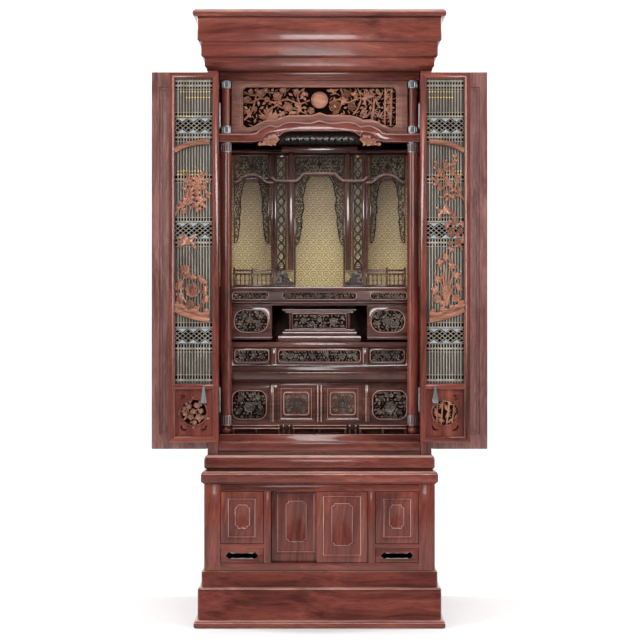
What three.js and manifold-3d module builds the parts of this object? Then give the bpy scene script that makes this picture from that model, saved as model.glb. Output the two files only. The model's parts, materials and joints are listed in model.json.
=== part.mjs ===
// Household altar cabinet in two stacked parts, in millimetres: +Z is up, the front faces -Y, and the origin
// is on the floor under the middle. The lower part is a stand with doors and drawers; the upper part holds a
// tiered shrine behind two pairs of folding doors.
import * as THREE from "three";
import { mergeVertices } from "three/addons/utils/BufferGeometryUtils.js";
import Module from "manifold-3d";

const wasm = await Module();
wasm.setup();

// Driving dimensions of the whole cabinet.
const cabinetDepth = 600;
const fit = 0.4; // between pieces that touch
const run = 1; // between a moving piece and its surround
const boardThickness = 10;
const deep = 40; // how far a cutting tool reaches past what it cuts

// Stand.
const plinthHalf = 352;
const plinthFootHeight = 20;
const plinthLowerTop = 111;
const plinthTop = 160;
const plinthLowerInset = 11;
const plinthUpperInset = 21;
const plinthWall = 30;
const standHalf = 323;
const standFrontInset = 15;
const standSide = 22;
const standFrameDepth = 34;
const standTopUnder = 402;
const standTopThickness = 36;
const standTopHalf = 332;
const standTopInset = 4;
const standBottomRail = 21;
const standTopRail = 21;
const standPost = 45;
const centreOpeningHalf = 136;
const standStile = 20;
const drawerRailHeight = 12;
const standDrawerHeight = 39;
const standDrawerDepth = 460;
const doorThickness = 11;
const slideLap = 19;

// Body of the upper cabinet.
const bodyHalf = 316;
const bodyWall = 31;
const bodyFrontInset = 48;
const footPlateHeight = 5.6;
const baseHeight = 44;
const baseHalf = 324;
const baseProjection = 18;
const trayThickness = 8;
const trayDepth = 330;
const trayKnobHalf = 11;
const trayKnobReach = 5;
const sillRailTop = 516;
const sillLipTop = 536;
const sillDepth = 58;
const floorTop = 528;
const totalHeight = 1730;
const crownBoardThickness = 20;
const crownDeck = 12;
const crownHalves = [7, 16, 26].map((reach) => bodyHalf + reach);
const crownSteps = [30, 43, 67]; // heights of the three faces, from below
const crownBoardHalf = bodyHalf + 39;
const crownTop = totalHeight - crownBoardThickness;
const crownUnder = crownTop - crownSteps.reduce((sum, step) => sum + step) - run;
const wallTop = crownUnder - run;
const lintelOverlap = 11;
const lintelHeight = 37;
const lintelTop = crownUnder + lintelOverlap;
const lintelUnder = lintelTop - lintelHeight;

// Doors.
const innerThickness = 16;
const innerOffset = 5;
const innerBottom = sillRailTop + 2;
const innerTop = crownUnder - 15;
const outerThickness = 20;
const outerOffset = 4;
const outerBottom = 497;
const outerTop = crownUnder - 9;
const barrelRadius = 3.3;
const barrelLength = 75;
const barrelInset = 118; // from the ends of a leaf to the middle of a barrel
const foldGap = 1;
const latticeStile = 18;
const latticeTopRail = 16;
const lowerPanelHeight = 129;
const midRailHeight = 16;
const latticeBottomRail = 20;
const slatCount = 12;
const slatWidth = 3;
const slatThickness = 3;
const bandShares = [[0.837, 0.879], [0.551, 0.595], [0.269, 0.311]]; // of a leaf's height, from its foot
const barHeight = 5;
const sprayPitch = 34; // between the leaves of a carved field
const roundelRadius = 39;
const pullTop = 676;
const pullHeight = 48;
const pullWidth = 16;
const pullThickness = 4;

// Shrine.
const clearFront = 44; // what the folded inner doors sweep behind the front of the walls
const columnRadius = 17;
const columnFoot = 561;
const capHeight = 29;
const capRadius = 18;
const transomThickness = 18;
const beamThickness = 11;
const beamDepth = 40;
const transomHeight = 152;
const shoulderHeight = 24;
const beamShoulder = lintelUnder - transomHeight;
const beamFoot = beamShoulder - shoulderHeight;
const shortCapRadius = 15;
const discDrop = 55; // of the disc's middle below the lintel
const shrineHalf = 253;
const facadeThickness = 14;
const bayTop = beamFoot - 17;
const bayInnerX = 148;
const stripInnerX = 76;
const balusterCount = 8;
const lowCabinetHeight = 155;
const apronHeight = 34;
const drawerRowStep = 16; // from the apron to the drawers
const drawerRowHeight = 49;
const tierEdge = 15; // from the drawers to the top of their tier
const boxStep = 17; // from the tier to the side boxes
const boxHeight = 94;
const upperShelfHeight = 50;
const daisHeight = 96;
const balustradeHeight = 47;
const boxInnerX = 138;
const daisHalf = 107;
const tierStileX = [142, 123];
const tierDrawerDepth = 240;
const tierUnder = floorTop + lowCabinetHeight;
const tierApronTop = tierUnder + apronHeight;
const drawerRowUnder = tierApronTop + drawerRowStep;
const drawerRowTop = drawerRowUnder + drawerRowHeight;
const tierTop = drawerRowTop + tierEdge;
const daisTop = tierTop + daisHeight;
const boxUnder = tierTop + boxStep;
const upperShelfUnder = boxUnder + boxHeight;
const upperShelfTop = upperShelfUnder + upperShelfHeight;
const bayFoot = upperShelfTop + 4;
const balustradeTop = bayFoot + balustradeHeight;
const lowRailTop = floorTop + 35;

// How far the parts of the shrine stand back from its front, and how far back they reach.
const lowRailBack = 50;
const lowBack = 68;
const lowEnd = 388;
const apronBack = 43;
const tierBack = 78;
const tierEnd = 408;
const daisBack = 96;
const canopyBack = 96;
const boxBack = 118;
const boxEnd = 268;
const upperBack = 133;
const upperEnd = 348;
const balustradeBack = 158;
const facadeBack = 188;
const goldBack = 238;

const front = -cabinetDepth / 2;
const back = cabinetDepth / 2;
const bodyFront = front + bodyFrontInset;
const bodyInner = bodyHalf - bodyWall;
const shrineFront = bodyFront + clearFront;
const standTop = standTopUnder + standTopThickness;
const baseTop = standTop + baseHeight;
const backBoardY = back - boardThickness;
const columnX = bodyInner - capRadius - fit;
const lowerPanelTop = innerBottom + latticeBottomRail + lowerPanelHeight;
const roundelHeight = lowerPanelTop - lowerPanelHeight / 2;
const lowRailY = shrineFront + lowRailBack;
const lowFrontY = shrineFront + lowBack;
const tierApronY = shrineFront + apronBack;
const tierFrontY = shrineFront + tierBack;
const daisFrontY = shrineFront + daisBack;
const canopyY = shrineFront + canopyBack;
const boxFrontY = shrineFront + boxBack;
const boxEndY = shrineFront + boxEnd;
const upperFrontY = shrineFront + upperBack;
const upperEndY = shrineFront + upperEnd;
const balustradeY = shrineFront + balustradeBack;
const facadeY = shrineFront + facadeBack;
const goldY = shrineFront + goldBack;
const tierEndY = shrineFront + tierEnd;
const lowEndY = shrineFront + lowEnd;

// A closed geometry as a solid that can be joined and cut.
function solidOf(geometry) {
  const bare = geometry.index ? geometry.toNonIndexed() : geometry.clone();
  bare.deleteAttribute("normal");
  bare.deleteAttribute("uv");
  const merged = mergeVertices(bare, 1e-4);
  return new wasm.Manifold(
    new wasm.Mesh({
      numProp: 3,
      vertProperties: new Float32Array(merged.attributes.position.array),
      triVerts: new Uint32Array(merged.index.array),
    }),
  );
}

const join = (solids) => solids.reduce((whole, next) => whole.add(next));
const cut = (solid, tools) => tools.reduce((whole, tool) => whole.subtract(tool), solid);

function geometryOf(solid) {
  const mesh = solid.getMesh();
  const geometry = new THREE.BufferGeometry();
  geometry.setAttribute("position", new THREE.BufferAttribute(new Float32Array(mesh.vertProperties), 3));
  geometry.setIndex(new THREE.BufferAttribute(new Uint32Array(mesh.triVerts), 1));
  return geometry;
}

// The same geometry on the other side of the middle plane, with its faces still pointing out.
function mirrored(geometry) {
  const other = geometry.clone().scale(-1, 1, 1);
  const index = other.index.array;
  for (let i = 0; i < index.length; i += 3) [index[i + 1], index[i + 2]] = [index[i + 2], index[i + 1]];
  return other;
}

function block(x0, x1, y0, y1, z0, z1) {
  const box = new THREE.BoxGeometry(x1 - x0, y1 - y0, z1 - z0);
  return solidOf(box.translate((x0 + x1) / 2, (y0 + y1) / 2, (z0 + z1) / 2));
}

// An outline in the x-z plane, as [x, z] points, given thickness from y0 to y1, with any holes.
function plate(points, y0, y1, holes = []) {
  const shape = new THREE.Shape(points.map(([x, z]) => new THREE.Vector2(x, z)));
  shape.holes = holes.map((hole) => new THREE.Path(hole.map(([x, z]) => new THREE.Vector2(x, z))));
  const geometry = new THREE.ExtrudeGeometry(shape, { depth: y1 - y0, bevelEnabled: false });
  return solidOf(geometry.rotateX(Math.PI / 2).translate(0, y1, 0));
}

// A solid through closed rings that all have the same number of [x, y, z] points.
function loft(rings) {
  const count = rings[0].length;
  const positions = rings.flat(2);
  const index = [];
  const last = (rings.length - 1) * count;
  for (let i = 1; i < count - 1; i++) {
    index.push(0, i + 1, i);
    index.push(last, last + i, last + i + 1);
  }
  for (let r = 0; r < rings.length - 1; r++)
    for (let i = 0; i < count; i++) {
      const a = r * count + i;
      const b = r * count + ((i + 1) % count);
      index.push(a, b, b + count, a, b + count, a + count);
    }
  const geometry = new THREE.BufferGeometry();
  geometry.setAttribute("position", new THREE.BufferAttribute(new Float32Array(positions), 3));
  geometry.setIndex(index);
  return solidOf(geometry);
}

// A stepped moulding that runs round the front and the sides: each ring is [z, half width, front y].
function stepped(rings, corner = 3) {
  return loft(
    rings.map(([z, half, y]) => [
      [-half, y + corner, z],
      [-half + corner, y, z],
      [half - corner, y, z],
      [half, y + corner, z],
      [half, back, z],
      [-half, back, z],
    ]),
  );
}

// A panel that faces the front: each step is [inset from the edge, y].
function panel(x0, x1, z0, z1, steps) {
  return loft(
    steps.map(([inset, y]) => [
      [x0 + inset, y, z0 + inset],
      [x1 - inset, y, z0 + inset],
      [x1 - inset, y, z1 - inset],
      [x0 + inset, y, z1 - inset],
    ]),
  );
}

// A framed door or drawer front with a sunk bevel and a raised field in the middle.
function framedDoor(x0, x1, z0, z1, y, thickness, stile, field) {
  const sunk = 3.5;
  return panel(x0, x1, z0, z1, [
    [0, y + thickness],
    [0, y + 1],
    [1, y],
    [stile - 2, y],
    [stile, y + sunk],
    [field - 3, y + sunk - 1.5],
    [field, y + 0.5],
    [field + 2, y],
  ]);
}

function turned(profile, x, y, sides) {
  const lathe = new THREE.LatheGeometry(profile.map(([r, z]) => new THREE.Vector2(r, z)), sides);
  return solidOf(lathe.rotateX(Math.PI / 2).translate(x, y, 0));
}

// A turned form whose axis points to the front: the profile is [radius, distance behind y].
function button(profile, x, y, z, sides) {
  const lathe = new THREE.LatheGeometry(profile.map(([r, h]) => new THREE.Vector2(r, h)), sides);
  return solidOf(lathe.translate(x, y, z));
}

const rod = (x, y, z0, z1, radius, sides = 10) =>
  turned([[0, z0], [radius, z0], [radius, z1], [0, z1]], x, y, sides);

// Points of an arc, from angle a to angle b in degrees.
function arc(x, z, radius, a, b, steps) {
  return Array.from({ length: steps + 1 }, (_, i) => {
    const angle = THREE.MathUtils.degToRad(a + ((b - a) * i) / steps);
    return [x + radius * Math.cos(angle), z + radius * Math.sin(angle)];
  });
}

// Half an outline in the x-z plane, from its left end to the middle, and its mirror image.
function both(half) {
  const others = half.filter(([x]) => Math.abs(x) > 1e-6).reverse();
  return [...half, ...others.map(([x, z]) => [-x, z])];
}

// A carved form with a ridge: a ring of [x, z] points at y, raised to one point in front and one behind.
function boss(ring, y, rise, centre) {
  const count = ring.length;
  const [x0, z0] = centre;
  const points = [[x0, y - rise, z0], ...ring.map(([x, z]) => [x, y, z]), [x0, y + rise, z0]];
  const index = [];
  for (let i = 0; i < count; i++) {
    const a = 1 + i;
    const b = 1 + ((i + 1) % count);
    index.push(0, a, b, count + 1, b, a);
  }
  const geometry = new THREE.BufferGeometry();
  geometry.setAttribute("position", new THREE.BufferAttribute(new Float32Array(points.flat()), 3));
  geometry.setIndex(index);
  return solidOf(geometry);
}

// A leaf, petal or twig from one [x, z] point to another.
function leaf(from, to, width, y, rise) {
  const [dx, dz] = [to[0] - from[0], to[1] - from[1]];
  const length = Math.hypot(dx, dz);
  const [sx, sz] = [(-dz / length) * (width / 2), (dx / length) * (width / 2)];
  const middle = [from[0] + dx / 2, from[1] + dz / 2];
  const ring = [from, [middle[0] - sx, middle[1] - sz], to, [middle[0] + sx, middle[1] + sz]];
  return boss(ring, y, rise, middle);
}

function blossom(x, z, radius, y, rise, petals = 5) {
  const ring = Array.from({ length: petals * 2 }, (_, i) => {
    const angle = (Math.PI * i) / petals + Math.PI / 2;
    const reach = i % 2 ? radius * 0.62 : radius;
    return [x + reach * Math.cos(angle), z + reach * Math.sin(angle)];
  });
  return boss(ring, y, rise, [x, z]);
}

// Leaves that fan out from one point.
function fan(x, z, length, width, from, to, count, y, rise) {
  return Array.from({ length: count }, (_, i) => {
    const angle = THREE.MathUtils.degToRad(from + ((to - from) * i) / Math.max(1, count - 1));
    const [dx, dz] = [length * Math.cos(angle), length * Math.sin(angle)];
    return leaf([x - dx * 0.2, z - dz * 0.2], [x + dx, z + dz], width, y, rise);
  });
}

// A bent branch through [x, z] points, as overlapping tapered lengths.
function branch(points, width, y, rise) {
  return points.slice(1).map((to, i) => {
    const from = points[i];
    const past = [to[0] + (to[0] - from[0]) * 0.35, to[1] + (to[1] - from[1]) * 0.35];
    const before = [from[0] - (to[0] - from[0]) * 0.35, from[1] - (to[1] - from[1]) * 0.35];
    return leaf(before, past, width, y, rise);
  });
}

const part = new THREE.Group();
part.name = "altar_cabinet";
const finishes = {
  rosewood: new THREE.MeshStandardMaterial({ color: 0x6b2c20, roughness: 0.3 }),
  inner_wood: new THREE.MeshStandardMaterial({ color: 0x4a2422, roughness: 0.35 }),
  carved_wood: new THREE.MeshStandardMaterial({ color: 0x8a4a2c, roughness: 0.5 }),
  lattice_wood: new THREE.MeshStandardMaterial({ color: 0x5b463c, roughness: 0.5 }),
  gold_brocade: new THREE.MeshStandardMaterial({ color: 0xb39a5c, roughness: 0.5, metalness: 0.3 }),
  silver_metal: new THREE.MeshStandardMaterial({ color: 0xb9bcc0, roughness: 0.3, metalness: 0.9 }),
};

function add(name, geometry, finish) {
  const mesh = new THREE.Mesh(geometry, finishes[finish]);
  mesh.name = name;
  part.add(mesh);
}

const place = (name, solid, finish) => add(name, geometryOf(solid), finish);

// A piece made for the left side, and its mirror image on the right.
function placePair(name, solid, finish) {
  const geometry = geometryOf(solid);
  add(name + "_left", geometry, finish);
  add(name + "_right", mirrored(geometry), finish);
}

// A drawer: a front board, sides, a bottom and a back, open above, with an optional cut in its front.
function drawer(x0, x1, z0, z1, y, depth, frontBoard, frontCut) {
  const wall = 7;
  const inner = block(x0 + wall, x1 - wall, y + frontBoard, y + depth - wall, z0 + wall, z1 + deep);
  const body = cut(block(x0, x1, y, y + depth, z0, z1), [inner]);
  return frontCut ? cut(body, [frontCut]) : body;
}

// Stand: plinth, hollow carcass, top board, doors and drawers.
function buildStand() {
  const plinthLower = plinthHalf - plinthLowerInset;
  const plinthUpper = plinthHalf - plinthUpperInset;
  const plinth = stepped([
    [0, plinthHalf - 2, front + 2],
    [3, plinthHalf, front],
    [plinthFootHeight - 6, plinthHalf, front],
    [plinthFootHeight, plinthHalf - 5, front + 5],
    [plinthFootHeight + fit, plinthLower, front + plinthLowerInset],
    [plinthLowerTop - 3, plinthLower, front + plinthLowerInset],
    [plinthLowerTop, plinthLower - 3, front + plinthLowerInset + 3],
    [plinthLowerTop + fit, plinthUpper, front + plinthUpperInset],
    [plinthTop - 4, plinthUpper, front + plinthUpperInset],
    [plinthTop, plinthUpper - 4, front + plinthUpperInset + 4],
  ]);
  const under = plinthTop - plinthFootHeight;
  const hollow = block(
    -plinthUpper + plinthWall,
    plinthUpper - plinthWall,
    front + plinthUpperInset + plinthWall,
    back - plinthWall,
    -deep,
    under,
  );
  place("stand_plinth", cut(plinth, [hollow]), "rosewood");

  const y0 = front + standFrontInset;
  const floorZ = plinthTop + fit;
  const topZ = standTopUnder - fit;
  const openFoot = plinthTop + standBottomRail;
  const openHead = standTopUnder - standTopRail;
  const sideIn = standHalf - standPost;
  const sideOut = centreOpeningHalf + standStile;
  const drawerHead = openFoot + standDrawerHeight + 2 * run;
  const doorFoot = drawerHead + drawerRailHeight;
  const inside = y0 + standFrameDepth;
  const shell = block(-standHalf, standHalf, y0, back, floorZ, topZ);
  const rooms = [
    block(-centreOpeningHalf - 6, centreOpeningHalf + 6, inside, backBoardY, openFoot, topZ + deep),
    block(-centreOpeningHalf, centreOpeningHalf, y0 - deep, inside + deep, openFoot, openHead),
  ];
  for (const side of [-1, 1]) {
    const low = (a, b) => Math.min(side * a, side * b);
    const high = (a, b) => Math.max(side * a, side * b);
    const wallIn = standHalf - standSide;
    rooms.push(
      block(low(sideOut, wallIn), high(sideOut, wallIn), inside, backBoardY, doorFoot, topZ + deep),
      block(low(sideOut, wallIn), high(sideOut, wallIn), inside, backBoardY, openFoot, drawerHead),
      block(low(sideOut, sideIn), high(sideOut, sideIn), y0 - deep, inside + deep, doorFoot, openHead),
      block(low(sideOut, sideIn), high(sideOut, sideIn), y0 - deep, inside + deep, openFoot, drawerHead),
    );
  }
  place("stand_carcass", cut(shell, rooms), "rosewood");

  const boardFront = front + standTopInset;
  const board = stepped([
    [standTopUnder, standTopHalf - 7, boardFront + 7],
    [standTopUnder + 7, standTopHalf, boardFront],
    [standTop - 9, standTopHalf, boardFront],
    [standTop - 2, standTopHalf - 4, boardFront + 4],
    [standTop, standTopHalf - 8, boardFront + 8],
  ]);
  place("stand_top_board", board, "rosewood");

  const stile = 19;
  const field = 39;
  const doorTop = openHead - run;
  const doorFootCentre = openFoot + run;
  const rearY = y0 + doorThickness + 4;
  const frontSlide = [-slideLap / 2 + run, centreOpeningHalf - run];
  place(
    "stand_sliding_door_right",
    framedDoor(...frontSlide, doorFootCentre, doorTop, y0 + 2, doorThickness, stile, field),
    "rosewood",
  );
  place(
    "stand_sliding_door_left",
    framedDoor(-frontSlide[1], -frontSlide[0], doorFootCentre, doorTop, rearY, doorThickness, stile, field),
    "rosewood",
  );
  const [d0, d1] = [-sideIn + run, -sideOut - run];
  const sideDoor = framedDoor(d0, d1, doorFoot + run, doorTop, y0 + 1, doorThickness + 4, stile, field);
  placePair("stand_side_door", sideDoor, "rosewood");

  const middle = (d0 + d1) / 2;
  const slotZ = openFoot + run + standDrawerHeight / 2;
  const slotHalf = 45;
  const slotRise = 9;
  const slot = plate(
    [[-slotHalf, 0], [-slotHalf + 8, -slotRise], [slotHalf - 8, -slotRise], [slotHalf, 0],
      [slotHalf - 8, slotRise], [slotRise, slotRise - 3], [-slotRise, slotRise - 3],
      [-slotHalf + 8, slotRise]]
      .map(([x, z]) => [middle + x, slotZ + z]),
    y0 - deep,
    y0 + deep,
  );
  const box = drawer(d0, d1, openFoot + run, drawerHead - run, y0 + 1, standDrawerDepth, 16, slot);
  placePair("stand_drawer", box, "rosewood");
}

// Upper cabinet: base, tray, floor, walls, back, ceiling and crown.
function buildBody() {
  const foot = standTop + fit;
  const plateTop = foot + footPlateHeight;
  const baseFront = bodyFront - baseProjection;
  const base = stepped([
    [foot, baseHalf - 5, baseFront + 5],
    [plateTop, baseHalf - 5, baseFront + 5],
    [plateTop + 1, baseHalf, baseFront],
    [baseTop - 12, baseHalf, baseFront],
    [baseTop - 4, baseHalf - 3, baseFront + 3],
    [baseTop, baseHalf - 8, baseFront + 10],
  ]);
  const hollowTop = baseTop - boardThickness;
  const baseHollow = block(-bodyInner, bodyInner, bodyFront + bodyWall, backBoardY, foot - deep, hollowTop);
  place("base_moulding", cut(base, [baseHollow]), "rosewood");

  const trayFoot = baseTop + run;
  const trayTop = trayFoot + trayThickness;
  const trayY = bodyFront + 2;
  const knobY = trayY - trayKnobReach;
  const knob = block(-trayKnobHalf, trayKnobHalf, knobY, knobY + deep, trayFoot + 1, trayTop - 1);
  const tray = block(-bodyInner + run, bodyInner - run, trayY, trayY + trayDepth, trayFoot, trayTop);
  place("pull_out_tray", join([tray, knob]), "inner_wood");

  const railFoot = trayTop + run;
  const inner = bodyInner - fit;
  const lipFront = shrineFront;
  const sillBack = bodyFront + sillDepth;
  const sill = join([
    block(-inner, inner, bodyFront + 1, sillBack, railFoot, sillRailTop),
    block(-inner, inner, lipFront, sillBack, sillRailTop - 1, sillLipTop),
  ]);
  place("sill_rail", sill, "rosewood");
  const floor = block(-inner, inner, sillBack + fit, backBoardY - fit, railFoot, floorTop);
  place("cabinet_floor", floor, "inner_wood");
  const wall = panelWall(baseTop + fit, wallTop);
  placePair("side_wall", wall, "rosewood");
  place("back_board", block(-inner, inner, backBoardY, back, baseTop + fit, wallTop), "rosewood");
  const ceilingFront = shrineFront + 32;
  const ceilingTop = lintelTop + boardThickness;
  const ceiling = block(-inner, inner, ceilingFront, backBoardY - fit, lintelTop + fit, ceilingTop);
  place("ceiling", ceiling, "inner_wood");

  const [h1, h2, h3] = crownHalves;
  const crownFront = (half) => front + (crownBoardHalf - half) + 1;
  const z1 = crownUnder + crownSteps[0];
  const z2 = z1 + crownSteps[1];
  const crown = stepped([
    [crownUnder - 6, bodyHalf + fit * 2, bodyFront - 2],
    [crownUnder, h1 - 6, crownFront(h1) + 6],
    [crownUnder + 6, h1, crownFront(h1)],
    [z1 - 2, h1, crownFront(h1)],
    [z1, h2 - 4, crownFront(h2) + 4],
    [z1 + 4, h2, crownFront(h2)],
    [z2 - 2, h2, crownFront(h2)],
    [z2, h3 - 4, crownFront(h3) + 4],
    [z2 + 4, h3, crownFront(h3)],
    [crownTop - fit, h3, crownFront(h3)],
  ]);
  const over = crownUnder - deep;
  const seat = block(-bodyHalf - fit, bodyHalf + fit, bodyFront - fit, back + deep, over, wallTop + fit);
  const room = block(-bodyInner, bodyInner, bodyFront + 2, backBoardY, over, crownTop - crownDeck);
  place("crown_moulding", cut(crown, [seat, room]), "rosewood");
  const board = stepped([
    [crownTop, crownBoardHalf - 4, front + 4],
    [crownTop + 5, crownBoardHalf, front],
    [totalHeight - 8, crownBoardHalf, front],
    [totalHeight - 2, crownBoardHalf - 3, front + 3],
    [totalHeight, crownBoardHalf - 8, front + 8],
  ]);
  place("crown_top_board", board, "rosewood");

  const lintel = join([
    block(-inner, inner, shrineFront, shrineFront + 30, lintelUnder + 13, lintelTop),
    block(-inner, inner, shrineFront + 4, shrineFront + 30, lintelUnder + 7, lintelTop - 3),
    block(-inner, inner, shrineFront + 9, shrineFront + 30, lintelUnder, lintelTop - 6),
  ]);
  place("lintel_moulding", lintel, "rosewood");
}

// The left side wall, with its front edges eased.
function panelWall(z0, z1) {
  const ease = 2;
  const outline = [
    [-bodyHalf, back],
    [-bodyHalf, bodyFront + ease],
    [-bodyHalf + ease, bodyFront],
    [-bodyInner - ease, bodyFront],
    [-bodyInner, bodyFront + ease],
    [-bodyInner, back],
  ];
  return loft([z0, z1].map((z) => outline.map(([x, y]) => [x, y, z])));
}

// The transom: an openwork plum, bamboo and peony carving round a plain disc, over a cusped beam. Its points
// are [x, height above the top of the opening's room], so that all of it hangs from the lintel.
function buildTransom() {
  const inner = bodyInner - fit;
  const y0 = shrineFront + beamThickness + fit;
  const y1 = y0 + transomThickness;
  const edge = columnX - shortCapRadius - run;
  const hung = (points) => points.map(([x, z]) => [x, lintelUnder + z]);
  const opening = both([
    [-209, -18], [-219, -28], [-219, -126], [-208, -135], [-200, -135], [-183, -129], [-165, -118],
    [-145, -112], [-122, -113], [-110, -106], [-88, -100], [-20, -99], [0, -92],
  ]);
  const foot = beamShoulder + fit;
  const underside = both([[-edge, foot], [-200, foot], [-180, foot + 9], [0, foot + 14]]);
  const outline = [...underside, [edge, lintelUnder - fit], [-edge, lintelUnder - fit]];
  place("transom_frame", plate(outline, y0, y1, [hung(opening)]), "rosewood");

  const openingHalf = opening[1][0];
  const [high, low] = [opening[0][1], opening[3][1]];
  const middle = (high + low) / 2;
  const shrunk = (by) => opening.map(([x, z]) => [
    x * (1 + by / openingHalf),
    middle + (z - middle) * (1 - (2 * by) / (high - low)),
  ]);
  const rim = plate(hung(shrunk(fit * 2)), y0 + 4, y1 - 3, [hung(shrunk(5))]);
  const y = y0 + transomThickness / 2;
  const rise = 5;
  const twig = (points, width) => branch(hung(points), width, y, rise - 1);
  const [left, right] = [opening[1][0], -opening[1][0]];
  const pieces = [
    ...twig([[left, -43], [-130, -63], [-20, -55]], 9),
    ...twig([[-150, low], [-130, -75], [-100, high]], 10),
    ...twig([[-60, low], [-52, -60], [-48, high]], 8),
    ...twig([[left + 14, low], [-176, high]], 7),
    ...twig([[20, -55], [110, -63], [right, -65]], 8),
    ...twig([[60, low], [66, high]], 8),
  ];
  const flowers = [[-196, -47, 13, 5], [-169, -55, 14, 5], [-104, -35, 15, 5], [-89, -65, 13, 5],
    [48, -69, 22, 7], [92, -63, 15, 6]];
  for (const [x, z, radius, petals] of flowers)
    pieces.push(blossom(x, lintelUnder + z, radius, y, rise + 1, petals));
  for (const x of [172, 192, 146]) {
    const lean = x < 150 ? -26 : 3;
    pieces.push(leaf([x, lintelUnder + low], [x + lean, lintelUnder + high], 9, y, rise));
  }
  const tufts = [[-138, -105, 44, 10, 40, 160, 2], [-62, -81, 30, 13, -10, 190, 3],
    [194, -57, 25, 13, 30, 210, 3], [144, -93, 25, 13, 0, 180, 3], [124, -57, 25, 13, 0, 180, 3]];
  for (const [x, z, length, width, from, to, count] of tufts)
    pieces.push(...fan(x, lintelUnder + z, length, width, from, to, count, y, rise));
  pieces.push(button([[0, -6], [21, -6], [24, -3], [24, 4], [0, 4]], 0, y, lintelUnder - discDrop, 16));
  const within = plate(hung(shrunk(fit * 2)), y0 - deep, y1 + deep);
  place("transom_carving", join([rim, join(pieces).intersect(within)]), "carved_wood");

  const lifted = (base, points) => points.map(([x, z]) => [x, base + z]);
  const beamTop = both(lifted(beamShoulder, [
    [-inner, 0], [-191, 0], [-172, 11], [-150, 22], [-136, 24], [-119, 21], [-105, 29], [-79, 34], [-28, 31],
    [0, 38],
  ]));
  const beamUnder = both(lifted(beamFoot, [
    [-inner, 0], [-183, 0], [-165, 9], [-148, 24], [-121, 27], [-117, 15], [-103, 26], [-79, 31], [0, 31],
  ]));
  const beam = plate([...beamTop, ...beamUnder.reverse()], shrineFront, shrineFront + beamThickness);
  const scrollPoints = lifted(beamFoot, [[-172, 2], [-118, 2], [-120, 30], [-148, 30]]);
  const scroll = plate(scrollPoints, shrineFront + 6, shrineFront + beamThickness);
  const shoulder = block(-inner, -185, shrineFront + 1, shrineFront + beamDepth, beamFoot, beamShoulder);
  const ends = join([scroll, shoulder]);
  place("curved_beam", join([beam, ends, solidOf(mirrored(geometryOf(ends)))]), "rosewood");
}

// Round columns with metal caps, a ball foot below, and a short column beside the transom.
function buildColumns() {
  const y = shrineFront + capRadius + 3;
  const r = columnRadius;
  const columnTop = beamFoot - fit;
  const column = turned(
    [
      [0, sillLipTop + fit], [9, sillLipTop + fit], [15, sillLipTop + 9], [12, columnFoot - 5],
      [capRadius, columnFoot - 3],
      [capRadius, columnFoot + capHeight], [r, columnFoot + capHeight + 1], [r, columnTop - capHeight - 1],
      [capRadius, columnTop - capHeight], [capRadius, columnTop], [0, columnTop],
    ],
    -columnX,
    y,
    12,
  );
  placePair("column", column, "inner_wood");
  const cap = shortCapRadius;
  const foot = beamShoulder + fit;
  const head = lintelUnder - fit;
  const short = turned(
    [
      [0, foot], [cap, foot], [cap, foot + 22], [r - 4, foot + 24], [r - 4, head - 24], [cap, head - 22],
      [cap, head], [0, head],
    ],
    -columnX,
    shrineFront + cap + 4,
    10,
  );
  placePair("short_column", short, "inner_wood");
}

// A height on the inner doors, as a share of a leaf's own height from its foot.
const leafLevel = (share) => innerBottom + (innerTop - innerBottom) * share;

// A folding leaf of the inner doors, from its hinge edge at x = 0 towards -x, with its back at y = 0.
function innerLeaf(width, carvings) {
  const depth = -innerThickness;
  const [x0, x1] = [-width + latticeStile, -latticeStile];
  const top = innerTop - latticeTopRail;
  const railFoot = lowerPanelTop;
  const railTop = railFoot + midRailHeight;
  const low = innerBottom + latticeBottomRail;
  const outline = [[-width, innerBottom], [0, innerBottom], [0, innerTop], [-width, innerTop]];
  const rect = (a, b, c, d) => [[a, c], [b, c], [b, d], [a, d]];
  const frame = plate(outline, depth, 0, [rect(x0, x1, low, railFoot), rect(x0, x1, railTop, top)]);
  const board = roundelPanel(x0, x1, low, railFoot, (x0 + x1) / 2);
  const pitch = (x1 - x0) / (slatCount + 1);
  const slatY = depth + 6;
  const solids = [frame, board];
  for (let i = 1; i <= slatCount; i++) {
    const x = x0 + pitch * i - slatWidth / 2;
    solids.push(block(x, x + slatWidth, slatY, slatY + slatThickness, railTop - 2, top + 2));
  }
  const barY = slatY + slatThickness + fit;
  for (const share of bandShares.flat()) {
    const z = leafLevel(share);
    solids.push(block(x0 - 2, x1 + 2, barY, barY + slatThickness, z - barHeight / 2, z + barHeight / 2));
  }
  return join([...solids, ...carvings(x0, x1, slatY - fit)]);
}

// The lower panel of an inner leaf: a round openwork boss in a board with comma-shaped cuts.
function roundelPanel(x0, x1, z0, z1, x) {
  const y = -innerThickness + 7;
  const z = roundelHeight;
  const ring = arc(x, z, roundelRadius, 0, 324, 9);
  const comma = (cx, cz, turn) => arc(cx, cz, 9, turn, turn + 180, 2).concat([[cx + 3, cz + 1]]);
  const cuts = [comma(x + 28, z + 46, 20), comma(x - 28, z - 46, 200), comma(x + 28, z - 46, 290)];
  const edge = [[x0 - 2, z0 - 2], [x1 + 2, z0 - 2], [x1 + 2, z1 + 2], [x0 - 2, z1 + 2]];
  const board = plate(edge, y, y + 5, [ring, ...cuts]);
  const sprays = [0, 120, 240].map((turn) => {
    const a = THREE.MathUtils.degToRad(turn + 18);
    const reach = roundelRadius + 3;
    return leaf([x, z], [x + reach * Math.cos(a), z + reach * Math.sin(a)], 15, y + 2, 4);
  });
  return join([board, ...sprays, blossom(x, z, 22, y + 1, 5)]);
}

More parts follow.
